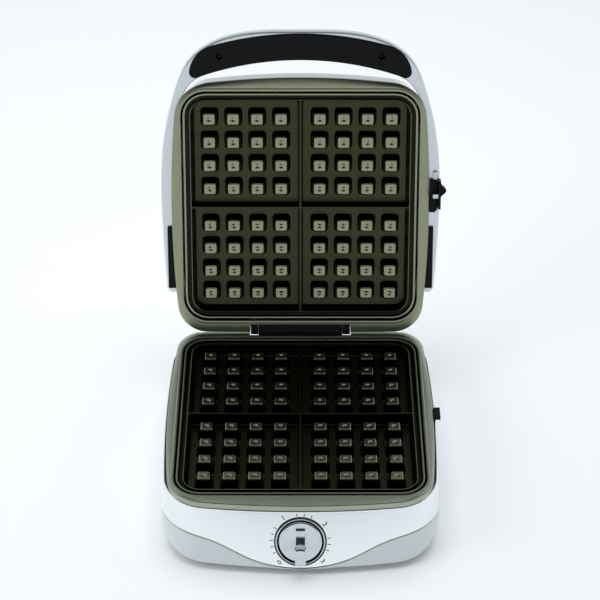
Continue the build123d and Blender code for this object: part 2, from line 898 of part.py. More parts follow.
# ---- write every piece ----
pieces = {
    "lower_plate": waffle_plate(LOWER_GRID),
    "lower_element": heating_element(LOWER_GRID),
    "lower_reflector": reflector(LOWER_GRID, holes=[(probe_x, -66)]),
    "lower_plate_screws": plate_screws(LOWER_GRID),
    "lower_thermal_fuse": thermal_fuse(LOWER_GRID),
    "base_bezel": base_bezel(),
    "upper_shell": upper_shell(),
    "lower_shell": lower_shell(),
    "bottom_cover": bottom_cover(),
    "bottom_screws": bottom_screws(),
    "feet": feet(),
    "dial_ring": dial_ring(),
    "thermostat": thermostat(),
    "thermostat_probe": thermostat_probe(),
    "terminal_block": terminal_block(),
    "cord_gland": cord_gland(),
    "hinge_barrel": hinge_barrel(),
    "hinge_pin": hinge_pin(),
    "latch_catch": latch_catch(),
    "upper_plate": waffle_plate(UPPER_GRID),
    "upper_element": heating_element(UPPER_GRID),
    "upper_reflector": reflector(UPPER_GRID),
    "upper_plate_screws": plate_screws(UPPER_GRID),
    "upper_thermal_fuse": thermal_fuse(UPPER_GRID),
    "lid_bezel": lid_bezel(),
    "lid_cover": lid_cover(),
    "lid_hinge_bracket": lid_hinge_bracket(),
    "hinge_bushes": hinge_bushes(),
    "lid_screws": lid_screws(),
    "handle_bow": handle_bow(),
    "handle_grip": handle_grip(),
    "grip_screws": grip_screws(),
    "arm_pads": arm_pads(),
    "latch_housing": latch_housing(),
    "latch_detent": latch_detent(),
    "control_knob": control_knob(),
    "knob_shaft": knob_shaft(),
    "knob_clip": knob_clip(),
    "latch_slider": latch_slider(),
    "latch_hook": latch_hook(),
}

os.makedirs("parts", exist_ok=True)
for piece_name, piece in pieces.items():
    save(piece, piece_name)
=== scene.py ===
"""A four-square waffle maker with its lid open: the looks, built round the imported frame.

Sizes are in millimetres, in the grid frame of one half: x to the right, y to the back, z out of the lower
grid, and the origin in the middle of the grid at peg-top height. The lid's frame is the same one, swung
back about the hinge with the open lid.
"""

import json
import logging
import math
from abc import ABC, abstractmethod
from dataclasses import dataclass
from enum import Enum
from typing import Any, Sequence

import bmesh
import bpy
import numpy as np
from mathutils import Matrix, Vector


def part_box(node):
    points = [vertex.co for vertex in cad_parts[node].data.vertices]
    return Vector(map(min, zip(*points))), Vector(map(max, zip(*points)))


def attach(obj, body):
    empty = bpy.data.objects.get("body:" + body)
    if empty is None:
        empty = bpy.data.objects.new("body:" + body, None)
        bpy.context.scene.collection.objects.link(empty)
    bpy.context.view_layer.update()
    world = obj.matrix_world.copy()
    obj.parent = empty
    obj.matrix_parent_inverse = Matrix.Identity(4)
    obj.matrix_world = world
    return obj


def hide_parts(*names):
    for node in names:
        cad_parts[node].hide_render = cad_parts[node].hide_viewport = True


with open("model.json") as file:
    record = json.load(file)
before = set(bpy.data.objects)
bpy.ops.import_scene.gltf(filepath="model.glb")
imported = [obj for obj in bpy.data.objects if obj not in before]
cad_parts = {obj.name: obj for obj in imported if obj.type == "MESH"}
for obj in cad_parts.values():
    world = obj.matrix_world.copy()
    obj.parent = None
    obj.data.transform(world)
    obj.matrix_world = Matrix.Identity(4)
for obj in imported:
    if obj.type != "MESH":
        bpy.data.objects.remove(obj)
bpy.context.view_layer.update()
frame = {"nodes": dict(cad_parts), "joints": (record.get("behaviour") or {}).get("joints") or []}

LOG = logging.getLogger("waffle_maker")
MM = 0.001
PLATE_FRONT = 123.2
RIM_RISE = 1.0
PEG_GAP = 3.0
BENCH_Z = -72.0

Rgb = tuple[float, float, float]
Path2 = Sequence[tuple[float, float]]
Path3 = Sequence[Sequence[float]]


class Body(Enum):
    """The bodies that a piece can ride on."""

    BASE = "base"
    LID = "lid"
    KNOB = "knob"
    LATCH = "latch"


# ---------------------------------------------------------------- places


@dataclass(frozen=True)
class Places:
    """Matrices that take millimetres in a local frame to metres in the object's frame."""

    base: Matrix
    lid: Matrix
    upper_grid: Matrix
    dial: Matrix

    @classmethod
    def read(cls) -> "Places":
        """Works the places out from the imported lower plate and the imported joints.

        Returns:
            The places of the base, the lid, the upper grid and the dial.
        """
        joints = {joint["name"]: joint for joint in frame["joints"]}
        low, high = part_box("lower_plate")
        grid = Vector((0.0, low.y + PLATE_FRONT * MM, high.z - RIM_RISE * MM))
        base = Matrix.Translation(grid) @ Matrix.Scale(MM, 4)
        hinge = joints["lid_hinge"]
        pivot = Matrix.Translation(Vector(hinge["pos_m"]))
        swing = Matrix.Rotation(-math.radians(hinge["range_deg"][1]), 4, "X")
        lid = pivot @ swing @ pivot.inverted() @ base
        turned = Matrix.Translation((0, 0, PEG_GAP)) @ Matrix.Rotation(math.pi, 4, "Y")
        knob = joints["knob_turn"]
        out = Vector(knob["axis"]).normalized()
        right = Vector((1, 0, 0))
        axes = Matrix((right, out.cross(right), out)).transposed().to_4x4()
        dial = Matrix.Translation(Vector(knob["pos_m"])) @ axes @ Matrix.Scale(MM, 4)
        return cls(base, lid, lid @ turned, dial)


# ---------------------------------------------------------------- outlines and paths


def smooth_path(points: Path2, count: int) -> np.ndarray:
    """A natural cubic through the points.

    Args:
        points: the points to pass through, in order.
        count: how many points to return, evenly spaced along the chords.

    Returns:
        An array of count rows of x and y.
    """
    given = np.array(points, float)
    along = np.concatenate([[0.0], np.cumsum(np.linalg.norm(np.diff(given, axis=0), axis=1))])
    gap = np.diff(along)
    size = len(given)
    system, right = np.eye(size), np.zeros((size, 2))
    for i in range(1, size - 1):
        system[i, i - 1 : i + 2] = gap[i - 1], 2 * (gap[i - 1] + gap[i]), gap[i]
        right[i] = 6 * ((given[i + 1] - given[i]) / gap[i] - (given[i] - given[i - 1]) / gap[i - 1])
    bend = np.linalg.solve(system, right)
    wanted = np.linspace(0.0, along[-1], count)
    span = np.clip(np.searchsorted(along, wanted, side="right") - 1, 0, size - 2)
    h = gap[span][:, None]
    a = (along[span + 1] - wanted)[:, None] / h
    b = 1.0 - a
    curve = a * given[span] + b * given[span + 1]
    return curve + ((a**3 - a) * bend[span] + (b**3 - b) * bend[span + 1]) * h**2 / 6


def three_point_arc(start: Sequence[float], middle: Sequence[float], end: Sequence[float], count: int) -> np.ndarray:
    """Points along the arc through three points, ends included.

    Args:
        start: where the arc starts.
        middle: a point on the arc.
        end: where the arc ends.
        count: how many points to return.

    Returns:
        An array of count rows of x and y.
    """
    a, b, c = (np.array(p, float) for p in (start, middle, end))
    system = 2 * np.array([b - a, c - a])
    centre = np.linalg.solve(system, [b @ b - a @ a, c @ c - a @ a])
    first, half, last = (math.atan2(*(p - centre)[::-1]) for p in (a, b, c))
    turn = 2 * math.pi
    sweep = (last - first) % turn
    if (half - first) % turn > sweep:
        sweep -= turn
    angles = first + sweep * np.linspace(0.0, 1.0, count)
    return centre + np.linalg.norm(a - centre) * np.stack([np.cos(angles), np.sin(angles)], 1)


@dataclass(frozen=True)
class Outline:
    """A rounded square whose four sides are long shallow arcs."""

    half: float
    front: float
    rear: float
    corner: float
    front_bow: float = 0.02
    side_bow: float = 0.02
    rear_bow: float = 0.02
    rear_corner: float | None = None

    def inset(self, distance: float) -> "Outline":
        """The same outline, smaller all round by a distance.

        Args:
            distance: how far in every side moves, in millimetres.

        Returns:
            The smaller outline.
        """
        return Outline(
            self.half - distance,
            self.front + distance,
            self.rear - distance,
            max(self.corner - distance, 0.4),
            self.front_bow,
            self.side_bow,
            self.rear_bow,
            None if self.rear_corner is None else max(self.rear_corner - distance, 0.4),
        )

    def _sides(self) -> list[tuple[np.ndarray, float]]:
        """Centre and radius of the front, right, rear and left arcs.

        Returns:
            The four pairs, in that order.
        """
        x = self.half - self.side_bow
        low, high = self.front + self.front_bow, self.rear - self.rear_bow
        middle = (low + high) / 2
        radii = [
            (chord**2 + bow**2) / (2 * bow)
            for chord, bow in ((x, self.front_bow), ((high - low) / 2, self.side_bow), (x, self.rear_bow))
        ]
        front, side, rear = radii
        return [
            (np.array([0.0, self.front + front]), front),
            (np.array([self.half - side, middle]), side),
            (np.array([0.0, self.rear - rear]), rear),
            (np.array([side - self.half, middle]), side),
        ]

    def loop(self, per_side: int = 12, per_corner: int = 8) -> np.ndarray:
        """Points round the outline, anticlockwise from the left end of the front side.

        Args:
            per_side: steps along each side.
            per_corner: steps round each corner.

        Returns:
            An array with a row of x and y for each point.
        """
        sides = self._sides()
        x, low = self.half, self.front
        corners = [(x, low), (x, self.rear), (-x, self.rear), (-x, low)]
        rear = self.corner if self.rear_corner is None else self.rear_corner
        rounds = [self.corner, rear, rear, self.corner]
        centres = []
        for i, near in enumerate(corners):
            (a, ra), (b, rb) = sides[i], sides[(i + 1) % 4]
            ra, rb = ra - rounds[i], rb - rounds[i]
            apart = np.linalg.norm(b - a)
            along = (b - a) / apart
            reach = (ra**2 - rb**2 + apart**2) / (2 * apart)
            off = math.sqrt(max(ra**2 - reach**2, 0.0)) * np.array([-along[1], along[0]])
            choices = [a + along * reach + off, a + along * reach - off]
            centres.append(min(choices, key=lambda p: float(np.linalg.norm(p - np.array(near)))))
        rows = []
        for i in range(4):
            (middle, radius), following = sides[i], sides[(i + 1) % 4][0]
            start, end = centres[i - 1] - middle, centres[i] - middle
            rows.append(self._arc(middle, radius, start, end, per_side))
            rows.append(self._arc(centres[i], rounds[i], end, centres[i] - following, per_corner))
        return np.concatenate(rows)

    @staticmethod
    def _arc(centre: np.ndarray, radius: float, start: np.ndarray, end: np.ndarray, steps: int) -> np.ndarray:
        """Points from one direction to another about a centre, without the last.

        Args:
            centre: the arc's centre.
            radius: the arc's radius.
            start: the direction that it starts in.
            end: the direction that it ends in.
            steps: how many steps to take.

        Returns:
            The points.
        """
        first = math.atan2(start[1], start[0])
        sweep = (math.atan2(end[1], end[0]) - first + math.pi) % (2 * math.pi) - math.pi
        angles = first + sweep * np.arange(steps) / steps
        return centre + radius * np.stack([np.cos(angles), np.sin(angles)], 1)


def lift(loop: np.ndarray, z: float | np.ndarray) -> np.ndarray:
    """A flat loop raised to one height, or to a height of its own for each point.

    Args:
        loop: the outline's points.
        z: the height, in millimetres.

    Returns:
        Rows of x, y and z.
    """
    return np.column_stack([loop, np.broadcast_to(z, len(loop))])


def box_loop(low: Sequence[float], high: Sequence[float], radii: Sequence[float], steps: int = 6) -> np.ndarray:
    """A rectangle with a radius of its own at each corner.

    Args:
        low: least x and y.
        high: greatest x and y.
        radii: radius at the low corner, then anticlockwise.
        steps: steps round each corner.

    Returns:
        An array of 4 * (steps + 1) rows of x and y.
    """
    corners = [(low[0], low[1]), (high[0], low[1]), (high[0], high[1]), (low[0], high[1])]
    signs = [(1, 1), (-1, 1), (-1, -1), (1, -1)]
    rows = []
    for i, ((x, y), (sx, sy), radius) in enumerate(zip(corners, signs, radii)):
        angles = math.pi * (1 + i / 2) + (math.pi / 2) * np.arange(steps + 1) / steps
        centre = np.array([x + sx * radius, y + sy * radius])
        rows.append(np.stack([centre[0] + radius * np.cos(angles), centre[1] + radius * np.sin(angles)], 1))
    return np.concatenate(rows)


# ---------------------------------------------------------------- meshes


class Draft:
    """A mesh in the making, in the millimetres of a local frame."""

    def __init__(self) -> None:
        """Starts with nothing."""
        self.bm = bmesh.new()

    def row(self, points: np.ndarray) -> list[bmesh.types.BMVert]:
        """Adds a row of corners.

        Args:
            points: the points, in order.

        Returns:
            The new corners.
        """
        return [self.bm.verts.new(Vector(p)) for p in points]

    def face(self, corners: Sequence[bmesh.types.BMVert], paint: int = 0) -> None:
        """Adds one face, unless its corners have run together.

        Args:
            corners: the face's corners, in order.
            paint: the material index.
        """
        distinct = list(dict.fromkeys(corners))
        if len(distinct) > 2:
            self.bm.faces.new(distinct).material_index = paint

    def skin(
        self,
        first: Sequence[bmesh.types.BMVert],
        second: Sequence[bmesh.types.BMVert],
        closed: bool = True,
        paint: int = 0,
    ) -> None:
        """Joins two rows with four-sided faces.

        Args:
            first: the first value or row.
            second: the second value or row.
            closed: whether each row joins its own ends.
            paint: the material index.
        """
        for i in range(len(first) if closed else len(first) - 1):
            j = (i + 1) % len(first)
            self.face((first[i], first[j], second[j], second[i]), paint)

    def loft(
        self,
        loops: Sequence[np.ndarray],
        closed: bool = True,
        ring: bool = False,
        caps: bool = False,
        paints: Sequence[int] = (),
    ) -> list[list[bmesh.types.BMVert]]:
        """Skins a run of rows.

        Args:
            loops: the rows, each with the same number of points.
            closed: whether each row joins its own ends.
            ring: whether the last row joins the first.
            caps: whether the first and the last row are closed with a face.
            paints: the material index of each band, or nothing for 0 all over.

        Returns:
            The corners of every row.
        """
        rows = [self.row(loop) for loop in loops]
        bands = list(zip(rows, rows[1:] + rows[:1])) if ring else list(zip(rows, rows[1:]))
        for i, (first, second) in enumerate(bands):
            self.skin(first, second, closed, paints[i] if paints else 0)
        if caps:
            self.face(rows[0])
            self.face(rows[-1])
        return rows

    def lathe(
        self, profile: Path2, steps: int = 48, at: Sequence[float] = (0, 0), paints: Sequence[int] = ()
    ) -> None:
        """Turns a profile of radius and height about an upright axis.

        Args:
            profile: radius and height pairs. A profile that starts or ends at radius 0 is closed there.
            steps: steps round the axis.
            at: where the axis stands.
            paints: the material index of each band.
        """
        angles = 2 * math.pi * np.arange(steps) / steps
        circle = np.stack([np.cos(angles), np.sin(angles)], 1)
        loops = [lift(circle * max(radius, 1e-6) + np.array(at), z) for radius, z in profile]
        self.loft(loops, paints=paints)

    def prism(self, loop: np.ndarray, low: float, high: float) -> None:
        """A solid of one outline between two heights.

        Args:
            loop: the outline's points.
            low: the lower height.
            high: the upper height.
        """
        self.loft([lift(loop, low), lift(loop, high)], caps=True)

    def done(self, name: str, place: Matrix, weld: float = 0.004) -> bpy.types.Object:
        """Welds the draft, turns its faces outwards and makes it an object.

        Args:
            name: the object's name.
            place: the matrix from the local frame to the object's frame.
            weld: corners nearer than this, in millimetres, become one.

        Returns:
            The object, at the origin, with its place in its mesh.
        """
        bmesh.ops.remove_doubles(self.bm, verts=self.bm.verts, dist=weld)
        bmesh.ops.dissolve_degenerate(self.bm, edges=self.bm.edges, dist=weld / 4)
        bmesh.ops.recalc_face_normals(self.bm, faces=self.bm.faces)
        self.bm.transform(place)
        mesh = bpy.data.meshes.new(name)
        self.bm.to_mesh(mesh)
        self.bm.free()
        return shown(name, mesh)


def shown(name: str, mesh: bpy.types.Mesh) -> bpy.types.Object:
    """Puts a mesh in the scene as an object.

    Args:
        name: the name to give.
        mesh: the mesh.

    Returns:
        The new object.
    """
    piece = bpy.data.objects.new(name, mesh)
    bpy.context.scene.collection.objects.link(piece)
    return piece


def bake(piece: bpy.types.Object) -> bpy.types.Object:
    """Turns a piece's modifiers into plain mesh.

    Args:
        piece: the piece.

    Returns:
        The same piece.
    """
    graph = bpy.context.evaluated_depsgraph_get()
    mesh = bpy.data.meshes.new_from_object(
        piece.evaluated_get(graph), preserve_all_data_layers=True, depsgraph=graph
    )
    old = piece.data
    piece.modifiers.clear()
    piece.data = mesh
    bpy.data.meshes.remove(old)
    return piece


def carve(piece: bpy.types.Object, cutter: bpy.types.Object) -> None:
    """Cuts one solid out of a piece, and removes the cutter.

    Args:
        piece: the piece to cut.
        cutter: the solid to cut with, which is used up.
    """
    cut = piece.modifiers.new("carve", "BOOLEAN")
    cut.operation = "DIFFERENCE"
    cut.solver = "EXACT"
    cut.object = cutter
    bake(piece)
    bpy.data.objects.remove(cutter)


def carve_prism(piece: bpy.types.Object, place: Matrix, loop: np.ndarray, low: float, high: float) -> None:
    """Cuts a prism out of a piece.

    Args:
        piece: the piece to cut.
        place: the matrix from the prism's local frame to the object's frame.
        loop: the prism's outline.
        low: where the prism starts.
        high: where the prism ends.
    """
    cutter = Draft()
    cutter.prism(loop, low, high)
    carve(piece, cutter.done("cutter", place))


def soften(piece: bpy.types.Object, radius: float, steps: int = 3, angle: float = 40.0) -> bpy.types.Object:
    """Rounds every edge that turns by more than an angle.

    Args:
        piece: the piece to round.
        radius: the rounding's radius in millimetres.
        steps: faces across each rounding.
        angle: the least turn in degrees.

    Returns:
        The same piece.
    """
    bevel = piece.modifiers.new("soften", "BEVEL")
    bevel.width = radius * MM
    bevel.segments = steps
    bevel.limit_method = "ANGLE"
    bevel.angle_limit = math.radians(angle)
    bevel.use_clamp_overlap = True
    return bake(piece)


def from_cad(name: str, *nodes: str) -> bpy.types.Object:
    """A copy of CAD nodes with their loose triangles merged and their flat faces made whole.

    Args:
        name: the new piece's name.
        nodes: the nodes to copy.

    Returns:
        The new piece.
    """
    bm = bmesh.new()
    for node in nodes:
        bm.from_mesh(frame["nodes"][node].data)
    bmesh.ops.remove_doubles(bm, verts=bm.verts, dist=2e-6)
    bmesh.ops.dissolve_limit(bm, angle_limit=math.radians(1.0), verts=bm.verts, edges=bm.edges)
    mesh = bpy.data.meshes.new(name)
    bm.to_mesh(mesh)
    bm.free()
    return shown(name, mesh)


def settle(piece: bpy.types.Object, angle: float = 38.0) -> bpy.types.Object:
    """Shades a piece smooth, with its real edges sharp and its flats flat.

    Args:
        piece: the piece.
        angle: edges that turn by more than this, in degrees, stay sharp.

    Returns:
        The same piece.
    """
    piece.data.shade_smooth()
    piece.data.set_sharp_from_angle(angle=math.radians(angle))
    weighted = piece.modifiers.new("settle", "WEIGHTED_NORMAL")
    weighted.keep_sharp = True
    weighted.weight = 60
    return bake(piece)


# ---------------------------------------------------------------- geometry nodes


class Recipe:
    """A Geometry Nodes tree with named inputs, written as calls."""

    SOCKETS = {float: "NodeSocketFloat", int: "NodeSocketInt"}

    def __init__(self, name: str, inputs: dict[str, str]) -> None:
        """Starts a tree.

        Args:
            name: the tree's name.
            inputs: the socket type of each named input.
        """
        self.tree = bpy.data.node_groups.new(name, "GeometryNodeTree")
        self.keys: dict[str, str] = {}
        self.tree.interface.new_socket(name="Geometry", in_out="INPUT", socket_type="NodeSocketGeometry")
        for label, kind in inputs.items():
            socket = self.tree.interface.new_socket(name=label, in_out="INPUT", socket_type=kind)
            self.keys[label] = socket.identifier
        self.tree.interface.new_socket(name="Geometry", in_out="OUTPUT", socket_type="NodeSocketGeometry")
        self.given = self.tree.nodes.new("NodeGroupInput")

    def node(self, kind: str, settings: dict[str, Any] | None = None, links: dict[Any, Any] | None = None) -> Any:
        """Adds a node.

        Args:
            kind: the node's type.
            settings: its properties, set first.
            links: a value or an output socket for each of its inputs, by name or number.

        Returns:
            The node.
        """
        made = self.tree.nodes.new(kind)
        for key, value in (settings or {}).items():
            setattr(made, key, value)
        for key, value in (links or {}).items():
            if isinstance(value, bpy.types.NodeSocket):
                self.tree.links.new(value, made.inputs[key])
            else:
                made.inputs[key].default_value = value
        return made

    def maths(self, operation: str, *values: Any) -> bpy.types.NodeSocket:
        """Adds a Math node.

        Args:
            operation: what it works out.
            values: its inputs, as numbers or output sockets.

        Returns:
            Its result.
        """
        return self.node("ShaderNodeMath", {"operation": operation}, dict(enumerate(values))).outputs[0]

    def input(self, label: str) -> bpy.types.NodeSocket:
        """The output socket of a named input.

        Args:
            label: the input's name.

        Returns:
            The socket.
        """
        return self.given.outputs[label]

    def finish(self, geometry: bpy.types.NodeSocket, tones: Sequence[str] = ()) -> "Recipe":
        """Ends the tree in Realize Instances and Set Material.

        Args:
            geometry: what the tree has made so far.
            tones: the inputs that hold the materials of the faces marked 1, 2 and so on; on the plates these are the
                painted shade copies of the coating.

        Returns:
            The recipe itself.
        """
        real = self.node("GeometryNodeRealizeInstances", links={0: geometry})
        dressed = self.node(
            "GeometryNodeSetMaterial", links={"Geometry": real.outputs[0], "Material": self.input("Material")}
        )
        for mark, label in enumerate(tones, 1):
            tone = self.node("GeometryNodeInputNamedAttribute", {"data_type": "INT"}, {"Name": "tone"})
            chosen = self.node(
                "FunctionNodeCompare", {"data_type": "INT", "operation": "EQUAL"}, {2: tone.outputs[0], 3: mark}
            )
            links = {"Geometry": dressed.outputs[0], "Selection": chosen.outputs[0], "Material": self.input(label)}
            dressed = self.node("GeometryNodeSetMaterial", links=links)
        out = self.tree.nodes.new("NodeGroupOutput")
        self.tree.links.new(dressed.outputs[0], out.inputs[0])
        return self

    def grow(self, name: str, values: dict[str, Any], seeds: bpy.types.Mesh | None = None) -> bpy.types.Object:
        """Runs the tree and keeps its result as plain mesh.

        Args:
            name: the new piece's name.
            values: a value for each named input.
            seeds: the mesh that the tree starts from, if it needs one.

        Returns:
            The new piece.
        """
        host = shown(name, seeds or bpy.data.meshes.new(name))
        growing = host.modifiers.new("grow", "NODES")
        growing.node_group = self.tree
        for label, value in values.items():
            growing[self.keys[label]] = value
        return bake(host)


def peg_field_recipe() -> Recipe:
    """A plate's four fields of pegs, joined to the body of the plate and welded to it.

    Returns:
        The finished tree.
    """
    recipe = Recipe(
        "peg_fields",
        {
            "Plate": "NodeSocketObject",
            "Peg": "NodeSocketObject",
            "Pitch": "NodeSocketFloat",
            "Pegs a row": "NodeSocketInt",
            "Field spacing": "NodeSocketFloat",
            "Weld": "NodeSocketFloat",
            "Material": "NodeSocketMaterial",
            "Painted shade well material": "NodeSocketMaterial",
            "Painted shade wall material": "NodeSocketMaterial",
        },
    )
    one_less = recipe.maths("SUBTRACT", recipe.input("Pegs a row"), 1.0)
    side = recipe.maths("MULTIPLY", one_less, recipe.input("Pitch"))
    counts = {"Vertices X": recipe.input("Pegs a row"), "Vertices Y": recipe.input("Pegs a row")}
    grid = recipe.node("GeometryNodeMeshGrid", links={"Size X": side, "Size Y": side, **counts})
    peg = recipe.node("GeometryNodeObjectInfo", links={"Object": recipe.input("Peg")})
    field = recipe.node(
        "GeometryNodeInstanceOnPoints", links={"Points": grid.outputs["Mesh"], "Instance": peg.outputs["Geometry"]}
    )
    spacing = recipe.input("Field spacing")
    middles = recipe.node(
        "GeometryNodeMeshGrid", links={"Size X": spacing, "Size Y": spacing, "Vertices X": 2, "Vertices Y": 2}
    )
    fields = recipe.node(
        "GeometryNodeInstanceOnPoints",
        links={"Points": middles.outputs["Mesh"], "Instance": field.outputs["Instances"]},
    )
    plate = recipe.node("GeometryNodeObjectInfo", links={"Object": recipe.input("Plate")})
    joined = recipe.node("GeometryNodeJoinGeometry", links={0: fields.outputs["Instances"]})
    recipe.tree.links.new(plate.outputs["Geometry"], joined.inputs[0])
    real = recipe.node("GeometryNodeRealizeInstances", links={0: joined.outputs[0]})
    welded = recipe.node(
        "GeometryNodeMergeByDistance", links={"Geometry": real.outputs[0], "Distance": recipe.input("Weld")}
    )
    # The faces marked 1 and 2 take the painted shade copies of the coating.
    return recipe.finish(welded.outputs[0], ("Painted shade well material", "Painted shade wall material"))


def planted_recipe() -> Recipe:
    """One small part set at every point of the seed mesh, such as a screw or a foot.

    Returns:
        The finished tree.
    """
    recipe = Recipe("planted", {"Part": "NodeSocketObject", "Material": "NodeSocketMaterial"})
    part = recipe.node("GeometryNodeObjectInfo", links={"Object": recipe.input("Part")})
    planted = recipe.node(
        "GeometryNodeInstanceOnPoints",
        links={"Points": recipe.given.outputs["Geometry"], "Instance": part.outputs["Geometry"]},
    )
    return recipe.finish(planted.outputs["Instances"])


def scale_marks_recipe() -> Recipe:
    """Short marks fanned along an arc of the dial's scale.

    Returns:
        The finished tree.
    """
    recipe = Recipe(
        "scale_marks",
        {
            "Radius": "NodeSocketFloat",
            "Length": "NodeSocketFloat",
            "Width": "NodeSocketFloat",
            "Thickness": "NodeSocketFloat",
            "First angle": "NodeSocketFloat",
            "Step": "NodeSocketFloat",
            "Count": "NodeSocketInt",
            "Material": "NodeSocketMaterial",
        },
    )
    points = recipe.node("GeometryNodeMeshLine", links={"Count": recipe.input("Count")})
    index = recipe.node("GeometryNodeInputIndex")
    turned = recipe.maths("MULTIPLY_ADD", index.outputs[0], recipe.input("Step"), recipe.input("First angle"))
    across = recipe.maths("MULTIPLY", recipe.maths("SINE", turned), recipe.input("Radius"))
    up = recipe.maths("MULTIPLY", recipe.maths("COSINE", turned), recipe.input("Radius"))
    spot = recipe.node("ShaderNodeCombineXYZ", links={"X": across, "Y": up})
    placed = recipe.node(
        "GeometryNodeSetPosition", links={"Geometry": points.outputs[0], "Position": spot.outputs[0]}
    )
    size = recipe.node(
        "ShaderNodeCombineXYZ",
        links={"X": recipe.input("Width"), "Y": recipe.input("Length"), "Z": recipe.input("Thickness")},
    )
    mark = recipe.node("GeometryNodeMeshCube", links={"Size": size.outputs[0], "Vertices X": 2, "Vertices Y": 5})
    lean = recipe.node("ShaderNodeCombineXYZ", links={"Z": recipe.maths("MULTIPLY", turned, -1.0)})
    marks = recipe.node(
        "GeometryNodeInstanceOnPoints",
        links={"Points": placed.outputs[0], "Instance": mark.outputs["Mesh"], "Rotation": lean.outputs[0]},
    )
    return recipe.finish(marks.outputs["Instances"])


# ---------------------------------------------------------------- shader tools


class Wire:
    """A number on its way through a shader, with arithmetic written as Python."""

    def __init__(self, desk: "Desk", socket: bpy.types.NodeSocket) -> None:
        """Wraps an output socket.

        Args:
            desk: where the material is put together.
            socket: the output socket to wrap.
        """
        self.desk = desk
        self.socket = socket

    def _maths(self, operation: str, first: "Wire | float", second: "Wire | float") -> "Wire":
        """Adds a Math node.

        Args:
            operation: what the node works out.
            first: the first value or row.
            second: the second value or row.

        Returns:
            The result.
        """
        made = self.desk.node("ShaderNodeMath", {"operation": operation}, {0: first, 1: second})
        return Wire(self.desk, made.outputs[0])

    def __add__(self, other: "Wire | float") -> "Wire":
        """Sum.

        Args:
            other: the other number.

        Returns:
            The result.
        """
        return self._maths("ADD", self, other)

    __radd__ = __add__

    def __mul__(self, other: "Wire | float") -> "Wire":
        """Product.

        Args:
            other: the other number.

        Returns:
            The result.
        """
        return self._maths("MULTIPLY", self, other)

    __rmul__ = __mul__

    def __sub__(self, other: "Wire | float") -> "Wire":
        """Difference.

        Args:
            other: the other number.

        Returns:
            The result.
        """
        return self._maths("SUBTRACT", self, other)

    def __rsub__(self, other: "Wire | float") -> "Wire":
        """Difference from a number.

        Args:
            other: the other number.

        Returns:
            The result.
        """
        return self._maths("SUBTRACT", other, self)

    def __pow__(self, other: "Wire | float") -> "Wire":
        """Power.

        Args:
            other: the other number.

        Returns:
            The result.
        """
        return self._maths("POWER", self, other)

    def clamp(self) -> "Wire":
        """Held between 0 and 1.

        Returns:
            The held number.
        """
        made = self.desk.node("ShaderNodeClamp", links={"Value": self})
        return Wire(self.desk, made.outputs[0])


